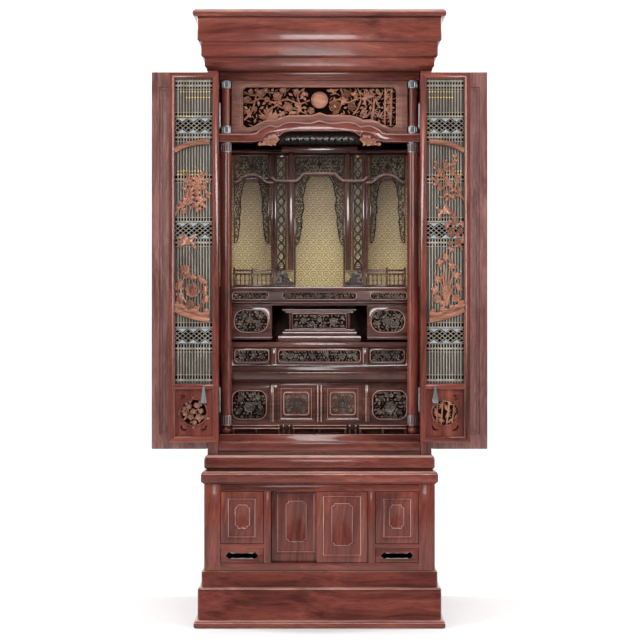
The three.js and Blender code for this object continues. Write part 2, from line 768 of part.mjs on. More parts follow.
// Carving that stands in front of the slats of the far leaf: a branch, a flying crane, flowers and two arcs.
function leafCarvings(x0, x1, backY) {
  const rise = 2.6;
  const y = backY - rise - 0.2;
  const low = backY - 6;
  const band = (from, to, sag, thick) => {
    const points = Array.from({ length: 7 }, (_, i) => {
      const t = i / 6;
      return [from[0] + (to[0] - from[0]) * t, from[1] + (to[1] - from[1]) * t + sag * Math.sin(Math.PI * t)];
    });
    return plate([...points, ...points.map(([x, z]) => [x, z - thick]).reverse()], low, backY);
  };
  const [a, b] = [x0 - 2, x1 + 2];
  const at = (across, up) => [x0 + (x1 - x0) * across, leafLevel(up)];
  const stem = [at(0.2, 0.805), at(0.55, 0.74), at(0.4, 0.68), at(1.04, 0.61)];
  const stalk = [at(-0.04, 0.649), at(0.4, 0.57), at(0.35, 0.47), at(0.45, 0.349)];
  const solids = [
    band([a, leafLevel(0.793)], [b, leafLevel(0.82)], 7, 14),
    band([a, leafLevel(0.367)], [b, leafLevel(0.338)], -7, 12),
    ...branch(stem, 12, y, rise),
    ...branch(stalk, 11, y, rise),
  ];
  const tufts = [[0.55, 0.74, 60], [0.4, 0.68, 110], [0.75, 0.649, 20]];
  for (const [across, up, turn] of tufts)
    solids.push(...fan(...at(across, up), 34, 19, turn, turn + 150, 2, y, rise));
  solids.push(
    leaf(at(0.1, 0.579), at(0.95, 0.539), 20, y, rise),
    leaf(at(0.45, 0.562), at(0.7, 0.61), 16, y, rise),
    blossom(...at(0.35, 0.485), 24, y, rise, 5),
    blossom(...at(0.5, 0.407), 30, y, rise, 6),
    ...fan(...at(0.5, 0.407), 50, 20, -10, 190, 3, y, rise),
  );
  const inside = block(x0 - 4, x1 + 4, -innerThickness - 4, backY, innerBottom, innerTop);
  return solids.map((solid) => solid.intersect(inside));
}

// A framed leaf of the outer doors, with a recessed panel on its inner face.
function outerLeaf(width) {
  const stile = 25;
  const recess = 6;
  const body = block(-width, 0, 0, outerThickness, outerBottom, outerTop);
  const panelCut = panel(-width + stile, -stile, outerBottom + stile, outerTop - stile, [
    [8, recess],
    [0, 0],
    [-recess, -recess],
  ]);
  return cut(body, [panelCut]);
}

// The four doors on each side, folded back as the cabinet stands open.
function buildDoors() {
  const inHinge = bodyInner - barrelRadius - fit;
  const innerWidth = (inHinge - run - 1.2) / 2;
  const outerWidth = (bodyHalf - run - 1.2) / 2;
  const near = innerLeaf(innerWidth, () => []);
  const far = innerLeaf(innerWidth, leafCarvings);
  const nearY = bodyFront - innerOffset;
  const farY = nearY - innerThickness - foldGap;
  const leaves = [
    ["inner_leaf_near", near, -inHinge - run, nearY, "lattice_wood"],
    ["inner_leaf_far", far, -inHinge - run, farY, "lattice_wood"],
  ];
  const outer = outerLeaf(outerWidth);
  const outerY = bodyFront + outerOffset;
  leaves.push(
    ["outer_leaf_near", outer, -bodyHalf - run, outerY, "rosewood"],
    ["outer_leaf_far", outer, -bodyHalf - run, outerY + outerThickness + foldGap, "rosewood"],
  );
  for (const [name, solid, x, y, finish] of leaves) {
    const geometry = geometryOf(solid).translate(x, y, 0);
    add(name + "_left", geometry, finish);
    add(name + "_right", mirrored(geometry), finish);
  }
  const barrels = { lower: innerBottom + barrelInset, upper: innerTop - barrelInset };
  for (const [name, z] of Object.entries(barrels)) {
    const barrel = rod(-inHinge, bodyFront, z - barrelLength / 2, z + barrelLength / 2, barrelRadius);
    placePair("hinge_barrel_" + name, barrel, "silver_metal");
  }
  const pullX = -inHinge - run - 42;
  const pullY = farY - innerThickness;
  const pull = panel(pullX - pullWidth / 2, pullX + pullWidth / 2, pullTop - pullHeight, pullTop, [
    [0, pullY - fit],
    [0, pullY - pullThickness + 2],
    [3, pullY - pullThickness],
  ]);
  placePair("door_pull", pull, "silver_metal");
}

// The front of one bay of the shrine: a carved frieze over a beam, with carved drops on both sides.
function bayFront(x0, x1, friezeHeight, archDrop) {
  const y1 = facadeY + facadeThickness;
  const friezeFoot = bayTop - friezeHeight;
  const archTop = bayTop - archDrop;
  const level = (share) => bayFoot + (bayTop - bayFoot) * share;
  const middle = (x0 + x1) / 2;
  const half = (x1 - x0) / 2;
  const drop = Math.min(20, half * 0.34);
  const dropFoot = level(0.32);
  const neck = half - drop;
  const left = [
    [-half, bayTop], [-half, dropFoot + 10], [-half + drop * 0.5, dropFoot], [-neck, dropFoot + 16],
    [-neck - 3, level(0.459)], [-neck + 3, level(0.562)], [-neck + 1, level(0.652)],
    [-neck + 10, level(0.716)], [-neck + 12, archTop - 6], [-neck + 20, archTop],
  ];
  const outline = [...left, ...left.map(([x, z]) => [-x, z]).reverse()].map(([x, z]) => [middle + x, z]);
  const [wideIn, foot] = [half - 12, friezeFoot + 9];
  const opening = [[-wideIn, foot], [wideIn, foot], [wideIn, bayTop - 16], [wideIn - 8, bayTop - 8],
    [8 - wideIn, bayTop - 8], [-wideIn, bayTop - 16]].map(([x, z]) => [middle + x, z]);
  const board = plate(outline, facadeY, y1, [opening]);
  const y = facadeY + 7;
  const friezeMiddle = (friezeFoot + bayTop) / 2;
  const reach = (bayTop - friezeFoot) / 2;
  const wide = half - 8;
  const carving = [
    ...fan(middle, friezeMiddle, reach + 2, 15, 0, 300, 6, y, 5),
    blossom(middle, friezeMiddle, 17, y, 7, 6),
    leaf([middle - wide, friezeMiddle], [middle + wide, friezeMiddle], 20, y, 4),
  ];
  const beamZ = friezeFoot - 3;
  const beamHalf = [[-half, 2], [-half, -14], [-half + 18, -14], [-half + 34, -8]];
  const beamOutline = both(beamHalf).map(([x, z]) => [middle + x, beamZ + z]);
  const beam = plate(beamOutline, facadeY - 6, facadeY + 4);
  return join([board, ...carving, beam]);
}

// A strip of open wave lattice with its pilaster, on the left of the middle bay.
function latticeStrip() {
  const [x0, x1] = [-bayInnerX + 6, -stripInnerX - 16];
  const y0 = facadeY - 8;
  const y1 = facadeY + 8;
  const rect = (a, b, c, d) => [[a, c], [b, c], [b, d], [a, d]];
  const openings = [];
  const cells = 14;
  const [low, high] = [bayFoot + 58, bayTop - 12];
  const pitch = (high - low) / cells;
  for (let i = 0; i < cells; i++) {
    const z = low + pitch * (i + 0.5);
    const lean = i % 2 ? 4 : -4;
    const middle = (x0 + x1) / 2 + lean;
    openings.push([[middle - 9, z], [middle, z - pitch * 0.36], [middle + 9, z], [middle, z + pitch * 0.36]]);
  }
  const strip = plate(rect(x0, x1, bayFoot + 46, bayTop), y0, y1, openings);
  const pilaster = block(x1 - 1, -stripInnerX, y0 - 6, y1, bayFoot + 46, bayTop);
  return join([strip, pilaster]);
}

// Small rails in front of the gold panels, with a raked hand-rail block beside the middle bay.
function balustrade() {
  const [x0, x1] = [-shrineHalf, -134];
  const y0 = balustradeY;
  const midRail = upperShelfTop + 35;
  const solids = [
    block(x0, x1, y0, y0 + 8, upperShelfTop + fit, upperShelfTop + 7),
    block(x0, x1, y0 + 1, y0 + 6, midRail, midRail + 5),
    block(x0, x1 + 4, y0, y0 + 7, balustradeTop - 6, balustradeTop),
    block(-200, -193, y0 - 1, y0 + 8, upperShelfTop + 1, balustradeTop + 6),
  ];
  const pitch = (x1 - x0) / balusterCount;
  for (let i = 0; i < balusterCount; i++) {
    const x = x0 + pitch * (i + 0.5);
    solids.push(block(x - 2, x + 2, y0 + 2, y0 + 5, upperShelfTop + 5, balustradeTop - 3));
  }
  const raked = plate(
    [[x1 - 2, upperShelfTop + fit], [-69, upperShelfTop + fit], [-69, upperShelfTop + 14],
      [-112, balustradeTop - 3], [-119, balustradeTop + 3], [-122, balustradeTop - 4],
      [x1 - 2, upperShelfTop + 6]],
    y0 - 14,
    y0 + 6,
  );
  return join([...solids, raked]);
}

// A shallow sunk oblong with rounded corners, used for carved fields in boards that face the front.
function sunkField(x0, x1, z0, z1, y, sink) {
  const c = Math.min(8, (z1 - z0) / 3);
  const ring = (inset, depth) => [
    [x0 + c, depth, z0 + inset], [x1 - c, depth, z0 + inset], [x1 - inset, depth, z0 + c],
    [x1 - inset, depth, z1 - c], [x1 - c, depth, z1 - inset], [x0 + c, depth, z1 - inset],
    [x0 + inset, depth, z1 - c], [x0 + inset, depth, z0 + c],
  ];
  return loft([ring(2, y + sink), ring(0, y - 2)]);
}

// A spray of leaves round a flower that fills an oblong field.
function spray(x0, x1, z0, z1, y, rise) {
  const [x, z] = [(x0 + x1) / 2, (z0 + z1) / 2];
  const [half, tall] = [(x1 - x0) / 2, (z1 - z0) / 2];
  const heart = Math.min(tall * 0.75, half * 0.4);
  const count = Math.max(1, Math.round((half - heart) / Math.max(tall, sprayPitch)));
  const pitch = (half - heart) / count;
  const solids = [blossom(x, z, heart, y, rise + 1, 6)];
  for (let i = 0; i < count; i++)
    for (const side of [-1, 1]) {
      const from = x + side * (heart + pitch * (i + 0.5));
      const lean = (i % 2 ? -side : side) * pitch * 0.3;
      solids.push(leaf([from - lean, z - tall * 0.85], [from + lean, z + tall * 0.85], pitch * 0.8, y, rise));
    }
  return solids;
}

// Steps and shelves of the shrine, each hollow behind its carved front.
function buildTiers() {
  const inner = bodyInner - fit;
  const upper = join([
    block(-inner, inner, upperFrontY + 6, upperEndY, upperShelfTop - 14, upperShelfTop),
    block(-136, 136, upperFrontY - 8, upperFrontY + 75, upperShelfTop - 14, upperShelfTop - 1),
    block(-inner, inner, upperFrontY + 10, upperFrontY + 24, upperShelfUnder, upperShelfTop - 10),
    block(-inner, inner, upperFrontY + 4, upperEndY - 40, upperShelfUnder - 6, upperShelfUnder + 11),
  ]);
  const slots = [[-shrineHalf, -150], [-106, 106], [150, shrineHalf]];
  const slotY = upperFrontY + 10;
  const [slotFoot, slotHead] = [upperShelfUnder + 13, upperShelfUnder + 33];
  const cuts = slots.map(([a, b]) => sunkField(a, b, slotFoot, slotHead, slotY, 5));
  const slotSprays = slots.flatMap(([a, b]) => spray(a + 3, b - 3, slotFoot + 2, slotHead - 2, slotY + 4, 3));
  const boxes = [-1, 1].flatMap((side) => {
    const [a, b] = side < 0 ? [-inner, -boxInnerX] : [boxInnerX, inner];
    const [c, d] = side < 0 ? [-shrineHalf + 8, -149] : [149, shrineHalf - 8];
    const boxTop = upperShelfUnder - 5;
    const shell = block(a, b, boxFrontY, boxEndY, boxUnder, boxTop);
    const room = block(a + 10, b - 10, boxFrontY + 14, boxEndY + deep, boxUnder + 10, boxTop - 10);
    const [ovalFoot, ovalTop] = [boxUnder + 12, boxTop - 14];
    const oval = sunkField(c, d, ovalFoot, ovalTop, boxFrontY, 7);
    const leaves = spray(c + 4, d - 4, ovalFoot + 4, ovalTop - 4, boxFrontY + 6, 5);
    return [join([cut(shell, [room, oval]), ...leaves])];
  });
  place("upper_tier", join([cut(upper, cuts), ...slotSprays, ...boxes]), "inner_wood");

  const daisFoot = tierTop + fit;
  const [waist, neck] = [daisTop - 59, daisTop - 11];
  const panelHalf = daisHalf - 26;
  const panelY = daisFrontY + 4;
  const daisShell = block(-panelHalf, panelHalf, panelY, boxEndY, waist, neck);
  const daisRoom = block(-panelHalf + 11, panelHalf - 11, panelY + 14, boxEndY + deep, waist + 11, neck - 10);
  const daisField = sunkField(-panelHalf + 4, panelHalf - 4, waist + 5, neck - 4, panelY, 6);
  const step = (half, forward, z0, z1) => block(-half, half, daisFrontY - forward, boxEndY, z0, z1);
  const dais = join([
    cut(daisShell, [daisRoom, daisField]),
    step(daisHalf, 4, neck + 4, daisTop),
    step(daisHalf - 9, 0, neck - 1, neck + 5),
    step(daisHalf - 3, 6, waist - 8, waist + 1),
    step(daisHalf + 1, 11, waist - 19, waist - 7),
    step(daisHalf + 13, 16, daisFoot, waist - 18),
    rod(-panelHalf - 5, daisFrontY + 6, waist, neck, 4, 8),
    rod(panelHalf + 5, daisFrontY + 6, waist, neck, 4, 8),
    ...spray(-panelHalf + 8, panelHalf - 8, waist + 8, neck - 6, daisFrontY + 9, 4),
  ]);
  place("dais", dais, "inner_wood");

  const rowHalf = columnX - capRadius - run;
  const roomEnd = tierFrontY + tierDrawerDepth + 8;
  const rowRoom = (a, b) => block(a, b, tierFrontY - deep, roomEnd, drawerRowUnder - 1, drawerRowTop);
  const [stileOut, stileIn] = tierStileX;
  const tier = cut(
    join([
      block(-inner, inner, tierFrontY, tierEndY, tierApronTop, tierTop),
      block(-inner, inner, tierFrontY - 4, tierFrontY + 20, drawerRowTop + 2, tierTop - 3),
      block(-inner, inner, tierFrontY - 14, tierEndY, tierApronTop, tierApronTop + 9),
      apron(inner),
    ]),
    [rowRoom(-rowHalf - run, -stileOut), rowRoom(-stileIn, stileIn), rowRoom(stileOut, rowHalf + run)],
  );
  place("drawer_tier", tier, "inner_wood");

  const rows = [["left", -rowHalf, -stileOut - run], ["middle", -stileIn + run, stileIn - run],
    ["right", stileOut + run, rowHalf]];
  const [rowFoot, rowHead] = [drawerRowUnder + 7, drawerRowTop - 7];
  for (const [name, a, b] of rows) {
    const field = sunkField(a + 5, b - 5, rowFoot, rowHead, tierFrontY + 1, 6);
    const box = drawer(a, b, drawerRowUnder, drawerRowTop - 1, tierFrontY + 1, tierDrawerDepth, 16, field);
    const leaves = spray(a + 9, b - 9, rowFoot + 4, rowHead - 4, tierFrontY + 6, 4);
    place("small_drawer_" + name, join([box, ...leaves]), "inner_wood");
  }
}

// The wide shelf with a rounded lower edge and a cusped apron.
function apron(inner) {
  return stepped([
    [tierUnder, inner, tierApronY + 14],
    [tierUnder + 8, inner, tierApronY + 4],
    [tierUnder + 18, inner, tierApronY],
    [tierApronTop - 6, inner, tierApronY],
    [tierApronTop, inner, tierApronY + 8],
  ], 0.5).intersect(block(-inner, inner, tierApronY - 1, tierEndY, 0, totalHeight));
}

// The lowest row of the shrine: carved side panels, two framed panels in the middle and low rails in front.
function buildLowRow() {
  const inner = bodyInner - fit;
  const foot = floorTop + fit;
  const head = tierUnder - fit;
  const shell = block(-inner, inner, lowFrontY, lowEndY, foot, head);
  const room = block(-inner + 12, inner - 12, lowFrontY + 16, lowEndY + deep, foot + 12, head - 10);
  const bevel = 3;
  const fields = [[-250, -155], [155, 250]];
  const doors = [[-122, -12], [12, 122]];
  const [fieldFoot, fieldHead] = [floorTop + 47, tierUnder - 26];
  const cuts = fields.map(([a, b]) => sunkField(a, b, fieldFoot, fieldHead, lowFrontY, 7));
  const bevels = [[9, lowFrontY + 5], [0, lowFrontY], [-bevel, lowFrontY - bevel]];
  cuts.push(...doors.map(([a, b]) => panel(a, b, floorTop + 39, tierUnder - 10, bevels)));
  const sprays = [
    ...fields.flatMap(([a, b]) => spray(a + 5, b - 5, fieldFoot + 5, fieldHead - 5, lowFrontY + 6, 5)),
    ...doors.flatMap(([a, b]) => spray(a + 24, b - 24, fieldFoot + 17, fieldHead - 7, lowFrontY + 5, 5)),
  ];
  const railFoot = lowRailTop - 16;
  const rails = [[-251, -110], [-80, 80], [110, 251]].map(([a, b]) => join([
    block(a, b, lowRailY, lowRailY + 12, railFoot, lowRailTop - 4),
    block(a + 2, b - 2, lowRailY + 3, lowFrontY + 2, foot, railFoot + 2),
  ]));
  const balls = [-104, -86, 86, 104].map((x) => join([
    rod(x, lowRailY + 7, foot, lowRailTop - 11, 4, 8),
    turned([[0, -14], [7, -10], [7, -3], [0, 2]].map(([r, z]) => [r, lowRailTop + z]), x, lowRailY + 7, 8),
    block(x - 2, x + 2, lowRailY + 7, lowFrontY + 2, foot, foot + 12),
  ]));
  place("low_cabinet", join([cut(shell, [room, ...cuts]), ...sprays, ...rails, ...balls]), "inner_wood");
}

function buildShrine() {
  const inner = bodyInner - fit;
  const toothPitch = 35;
  const [brim, toothRoot, toothTip] = [bayTop + 30, bayTop + 22, bayTop + 10];
  const teeth = [-3, -2, -1, 0, 1, 2, 3].flatMap((i) => {
    const x = i * toothPitch;
    return [[x - 14, toothRoot], [x, toothTip], [x + 14, toothRoot]];
  });
  const left = [[-inner, brim + 80], [-inner, brim], [-125, brim]];
  const right = left.map(([x, z]) => [-x, z]).reverse();
  place("canopy", plate([...left, ...teeth, ...right], canopyY, canopyY + 12), "inner_wood");
  const rail = join([
    block(-inner, inner, facadeY - 10, facadeY + 20, bayTop + 3, bayTop + 12),
    block(-112, 112, facadeY - 16, facadeY + 20, bayTop + 6, bayTop + 21),
  ]);
  place("shrine_rail", rail, "inner_wood");
  place("bay_front_left", bayFront(-shrineHalf, -bayInnerX, 73, 80), "inner_wood");
  place("bay_front_right", bayFront(bayInnerX, shrineHalf, 73, 80), "inner_wood");
  place("bay_front_middle", bayFront(-stripInnerX + 1, stripInnerX - 1, 60, 78), "inner_wood");
  placePair("lattice_strip", latticeStrip(), "inner_wood");
  const gold = block(-inner, inner, goldY, goldY + 6, upperShelfTop + fit, bayTop);
  place("gold_backing", gold, "gold_brocade");
  placePair("balustrade", balustrade(), "inner_wood");
  buildTiers();
  buildLowRow();
}

buildStand();
buildBody();
buildTransom();
buildColumns();
buildDoors();
buildShrine();

export default part;
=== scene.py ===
# %% [markdown]
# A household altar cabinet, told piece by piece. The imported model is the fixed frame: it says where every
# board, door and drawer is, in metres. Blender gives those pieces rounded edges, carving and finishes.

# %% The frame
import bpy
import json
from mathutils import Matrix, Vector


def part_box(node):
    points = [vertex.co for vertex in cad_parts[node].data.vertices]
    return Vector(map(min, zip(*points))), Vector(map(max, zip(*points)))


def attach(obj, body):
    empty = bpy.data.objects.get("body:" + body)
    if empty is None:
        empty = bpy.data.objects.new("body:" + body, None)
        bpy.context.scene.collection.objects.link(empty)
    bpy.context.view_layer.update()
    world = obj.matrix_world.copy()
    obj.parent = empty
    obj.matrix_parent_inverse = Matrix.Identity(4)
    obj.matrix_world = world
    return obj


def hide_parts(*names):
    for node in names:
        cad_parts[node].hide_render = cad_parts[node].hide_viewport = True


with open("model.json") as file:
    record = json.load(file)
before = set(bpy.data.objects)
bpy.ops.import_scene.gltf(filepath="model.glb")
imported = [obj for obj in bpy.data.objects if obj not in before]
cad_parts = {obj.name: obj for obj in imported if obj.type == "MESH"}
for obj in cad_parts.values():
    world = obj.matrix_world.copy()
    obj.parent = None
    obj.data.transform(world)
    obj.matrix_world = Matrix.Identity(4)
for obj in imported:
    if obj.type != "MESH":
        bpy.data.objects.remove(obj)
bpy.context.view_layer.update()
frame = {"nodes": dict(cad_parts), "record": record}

# %% [markdown]
# Sizes are written in millimetres, as in the frame's record, and MM turns them into Blender's metres. Two
# look-ups say which body each board of the frame moves with, and which finish it has.

# %% Libraries and names used everywhere
import json
import math
import random

import bmesh
import bpy
from mathutils import Matrix, Vector

MM = 0.001
body_of = {n: body for body, nodes in frame["record"]["behaviour"]["bodies"].items() for n in nodes}
slot_of = {part["node"]: part["material_slot"] for part in frame["record"]["subparts"]}
bpy.ops.object.select_all(action="DESELECT")
print("bodies:", ", ".join(sorted(set(body_of.values()))))

# %% [markdown]
# The cabinet was photographed from straight ahead with a long lens, so upright edges stay upright and the
# front reads like an elevation drawing. The camera stands five metres in front of the crown at mid height.
# The lens follows from how wide the picture is at that distance.

# %% Camera
CAMERA_DISTANCE = 5.0
FRONT_Y = -0.3
CAMERA_HEIGHT = 0.861
PICTURE_WIDTH = 640 * 2.79 * MM  # the width that the picture covers at the front of the crown
SENSOR = 36.0

lens = SENSOR * CAMERA_DISTANCE / PICTURE_WIDTH
bpy.ops.object.camera_add(location=(0.0014, FRONT_Y - CAMERA_DISTANCE, CAMERA_HEIGHT),
                          rotation=(math.pi / 2, 0, 0))
camera = bpy.context.object
camera.data.sensor_width = SENSOR
camera.data.lens = lens
bpy.context.scene.camera = camera
print("camera: lens", round(lens, 1), "mm")

# %% [markdown]
# A lacquered cabinet is lit mostly by what it reflects. Large soft lights on both sides and above lay a broad
# sheen on the flat boards, and narrow bright strips near the camera draw the thin white lines on every
# rounded edge. The floor and the wall behind are one pale sweep. The world is white to the camera alone, so that
# it lights the cabinet only a little.

# %% Studio
FLOOR_SIZE = 14.0
SWEEP_DEPTH = 3.2
SWEEP_RADIUS = 1.2
SWEEP_STEPS = 10
WALL_HEIGHT = 5
WORLD_LIGHT = 0.17  # how strongly the world lights the cabinet


def add_light(name, place, aim, size, power, colour=(1, 1, 1)):
    bpy.ops.object.light_add(type="AREA", location=place)
    light = bpy.context.object
    light.name = name
    light.data.shape = "RECTANGLE"
    light.data.size, light.data.size_y = size
    light.data.energy = power
    light.data.color = colour
    light.rotation_euler = (Vector(aim) - Vector(place)).to_track_quat("-Z", "Y").to_euler()
    return light


def plain_material(name, colour, roughness):
    material = bpy.data.materials.new(name)
    material.use_nodes = True
    shader = material.node_tree.nodes["Principled BSDF"]
    shader.inputs["Base Color"].default_value = (*colour, 1)
    shader.inputs["Roughness"].default_value = roughness
    return material


def build_sweep():
    bpy.ops.mesh.primitive_plane_add(size=FLOOR_SIZE, location=(0, SWEEP_DEPTH - FLOOR_SIZE / 2, -0.0005))
    floor = bpy.context.object
    bpy.ops.object.mode_set(mode="EDIT")
    bpy.ops.mesh.select_mode(type="EDGE")
    bpy.ops.mesh.select_all(action="DESELECT")
    bpy.ops.object.mode_set(mode="OBJECT")
    for edge in floor.data.edges:
        edge.select = all(floor.data.vertices[v].co.y > 0 for v in edge.vertices)
    bpy.ops.object.mode_set(mode="EDIT")
    for i in range(SWEEP_STEPS):
        a, b = (math.pi / 2 * k / SWEEP_STEPS for k in (i, i + 1))
        step = (0, SWEEP_RADIUS * (math.sin(b) - math.sin(a)), SWEEP_RADIUS * (math.cos(a) - math.cos(b)))
        bpy.ops.mesh.extrude_region_move(TRANSFORM_OT_translate={"value": step})
    bpy.ops.mesh.extrude_region_move(TRANSFORM_OT_translate={"value": (0, 0, WALL_HEIGHT)})
    bpy.ops.object.mode_set(mode="OBJECT")
    bpy.ops.object.shade_smooth()
    floor.name = "studio_sweep"
    paper = plain_material("pale_paper", (0.86, 0.86, 0.86), 0.9)
    floor.data.materials.append(paper)
    nodes, links = paper.node_tree.nodes, paper.node_tree.links
    # The paper's rear face is clear, so the cabinet can be looked at from behind.
    side = nodes.new("ShaderNodeNewGeometry")
    clear = nodes.new("ShaderNodeBsdfTransparent")
    mixed = nodes.new("ShaderNodeMixShader")
    links.new(side.outputs["Backfacing"], mixed.inputs[0])
    links.new(nodes["Principled BSDF"].outputs[0], mixed.inputs[1])
    links.new(clear.outputs[0], mixed.inputs[2])
    links.new(mixed.outputs[0], nodes["Material Output"].inputs["Surface"])
    bpy.ops.object.mode_set(mode="EDIT")
    bpy.ops.mesh.select_all(action="SELECT")
    bpy.ops.mesh.normals_make_consistent(inside=True)
    bpy.ops.object.mode_set(mode="OBJECT")
    ground = min(floor.data.polygons, key=lambda face: face.center.z)
    if ground.normal.z < 0:
        bpy.ops.object.mode_set(mode="EDIT")
        bpy.ops.mesh.flip_normals()
        bpy.ops.object.mode_set(mode="OBJECT")
    return floor


build_sweep()
add_light("key_left", (-3.1, -3.2, 2.5), (0, 0, 1.25), (1.2, 2.2), 66)
add_light("key_right", (3.1, -3.2, 2.5), (0, 0, 1.25), (1.2, 2.2), 56)
add_light("overhead", (0, -2.4, 3.5), (0, -0.2, 0.9), (2.6, 0.8), 27)
add_light("top_strip", (0, -3.4, 3.4), (0, -0.2, 1.1), (2.4, 0.16), 34)
add_light("edge_left", (-3.3, -2.1, 1.15), (0, -0.2, 1.0), (0.22, 2.3), 34)
add_light("edge_right", (3.3, -2.1, 1.15), (0, -0.2, 1.0), (0.22, 2.3), 30)
shrine_light = add_light("shrine_light", (0, -4.7, 1.52), (0, 0, 1.15), (0.9, 0.6), 0.8)
shrine_light.data.spread = math.radians(24)
for side in (-1, 1):
    add_light("sweep_light", (side * 3.2, 0.6, 2.8), (side * 0.5, 3.2, 1.2), (1.6, 1.6), 150)
world = bpy.data.worlds.new("studio")
bpy.context.scene.world = world
world.use_nodes = True
world.node_tree.nodes["Background"].inputs["Color"].default_value = (1, 1, 1, 1)
seen = world.node_tree.nodes.new("ShaderNodeLightPath")
strength = world.node_tree.nodes.new("ShaderNodeMath")
strength.operation = "MULTIPLY_ADD"
strength.inputs[1].default_value, strength.inputs[2].default_value = 1 - WORLD_LIGHT, WORLD_LIGHT
world.node_tree.links.new(seen.outputs["Is Camera Ray"], strength.inputs[0])
world.node_tree.links.new(strength.outputs[0], world.node_tree.nodes["Background"].inputs["Strength"])
bpy.context.scene.view_settings.view_transform = "Standard"
print("studio: 9 lights and a pale sweep")

# %% [markdown]
# Every finish here is worked out by shader nodes. Written out node by node, shader maths is hard to read, so
# one small class wraps a socket: adding or multiplying two of them adds the Math node that does it, and one
# method makes any other node from its type, its settings and what feeds it.

# %% Shader arithmetic


class Wire:
    """A socket of a material's node tree, for maths written as arithmetic."""

    def __init__(self, tree, socket):
        self.tree, self.socket = tree, socket

    def make(self, kind, settings=None, inputs=None, out=0):
        node = self.tree.nodes.new(kind)
        for name, value in (settings or {}).items():
            if name == "stops":
                set_stops(node.color_ramp, value)
            else:
                setattr(node, name, value)
        for name, value in (inputs or {}).items():
            feed(self.tree, node.inputs[name], value)
        return Wire(self.tree, node.outputs[out])

    def maths(self, operation, *values):
        return self.make("ShaderNodeMath", {"operation": operation}, dict(enumerate(values)))

    def __add__(self, other):
        return self.maths("ADD", self, other)

    def __sub__(self, other):
        return self.maths("SUBTRACT", self, other)

    def __rsub__(self, other):
        return self.maths("SUBTRACT", other, self)

    def __mul__(self, other):
        return self.maths("MULTIPLY", self, other)

    def __truediv__(self, other):
        return self.maths("DIVIDE", self, other)

    def __abs__(self):
        return self.maths("ABSOLUTE", self)

    def fraction(self):
        return self.maths("FRACT", self)

    def higher(self, other):
        return self.maths("MAXIMUM", self, other)

    __radd__ = __add__
    __rmul__ = __mul__

    def mix(self, first, second):
        """A colour between first and second, by this value."""
        inputs = {0: self, 6: first, 7: second}
        return self.make("ShaderNodeMix", {"data_type": "RGBA"}, inputs, out=2)

    def over(self, low, high):
        """0 below low, 1 above high, smooth between."""
        settings = {"interpolation_type": "SMOOTHSTEP"}
        return self.make("ShaderNodeMapRange", settings, {"Value": self, "From Min": low, "From Max": high})


def feed(tree, target, value):
    if isinstance(value, Wire):
        tree.links.new(value.socket, target)
    else:
        target.default_value = value


def set_stops(ramp, stops):
    while len(ramp.elements) > 1:
        ramp.elements.remove(ramp.elements[0])
    for i, (place, colour) in enumerate(stops):
        element = ramp.elements[0] if i == 0 else ramp.elements.new(place)
        element.position = place
        element.color = (*colour, 1)


def start_material(name):
    """A new material, its shader, and a wire on its Object coordinates."""
    material = bpy.data.materials.new(name)
    material.use_nodes = True
    tree = material.node_tree
    place = Wire(tree, tree.nodes.new("ShaderNodeTexCoord").outputs["Object"])
    return material, tree.nodes["Principled BSDF"], place


def noise(place, scale, detail=3.0, roughness=0.5, distortion=0.0):
    inputs = {"Vector": place, "Scale": scale, "Detail": detail, "Roughness": roughness,
              "Distortion": distortion}
    return place.make("ShaderNodeTexNoise", None, inputs)


def bump(place, height, strength, distance):
    return place.make("ShaderNodeBump", None, {"Height": height, "Strength": strength,
                                               "Distance": distance})


def finish_shader(shader, colour, roughness, normal=None, **plain):
    tree = shader.id_data
    feed(tree, shader.inputs["Base Color"], colour)
    feed(tree, shader.inputs["Roughness"], roughness)
    if normal is not None:
        feed(tree, shader.inputs["Normal"], normal)
    for name, value in plain.items():
        shader.inputs[name.replace("_", " ")].default_value = value


print("shader arithmetic ready")

# %% [markdown]
# Rosewood is red-brown with long dark streaks and a few orange-red ones, and it is lacquered to a deep gloss.
# Grain is noise stretched along one axis, so one function makes the wood for boards that run sideways, up or
# back. A slow noise bends the streaks, a fine one draws the pores, and a ramp turns the sum into colour. Its four
# tones make it red outside, darker inside, orange in the carvings, black behind them and pale on the edges, where
# the pale is a painted highlight. In corners and crevices ambient occlusion darkens the colour, a painted shade.

# %% Woods
GRAIN = {"x": (0.09, 1.0, 1.0), "y": (1.0, 0.09, 1.0), "z": (1.0, 1.0, 0.09)}
ROSEWOOD = ((0.028, 0.007, 0.005), (0.105, 0.024, 0.017), (0.175, 0.043, 0.030), (0.31, 0.09, 0.055))
# Painted highlight: pale tones for narrow rounds and beads, standing in for the thin line of light on a rounded
# edge.
PAINTED_HIGHLIGHT = ((0.10, 0.03, 0.02), (0.34, 0.16, 0.125), (0.48, 0.26, 0.21), (0.60, 0.36, 0.30))
BACKING_WOOD = ((0.02, 0.016, 0.012), (0.075, 0.062, 0.050), (0.115, 0.095, 0.078), (0.19, 0.16, 0.13))
MATT_WOOD = ((0.035, 0.013, 0.010), (0.135, 0.050, 0.038), (0.205, 0.080, 0.062), (0.34, 0.145, 0.11))
# Paler, greyer wood for the outer leaves: partly their own tone, partly a painted sheen.
LEAF_WOOD = ((0.05, 0.020, 0.018), (0.17, 0.072, 0.064), (0.25, 0.115, 0.105), (0.38, 0.19, 0.17))
INNER_WOOD = ((0.014, 0.006, 0.005), (0.060, 0.022, 0.017), (0.115, 0.042, 0.031), (0.21, 0.08, 0.053))
CARVED_WOOD = ((0.02, 0.006, 0.004), (0.20, 0.072, 0.040), (0.36, 0.15, 0.09), (0.60, 0.33, 0.22))
DARK_CARVED = ((0.001, 0.001, 0.001), (0.06, 0.038, 0.028), (0.15, 0.10, 0.075), (0.36, 0.26, 0.20))
BLACK_CARVED = ((0.001, 0.001, 0.001), (0.010, 0.006, 0.004), (0.025, 0.014, 0.009), (0.09, 0.055, 0.035))
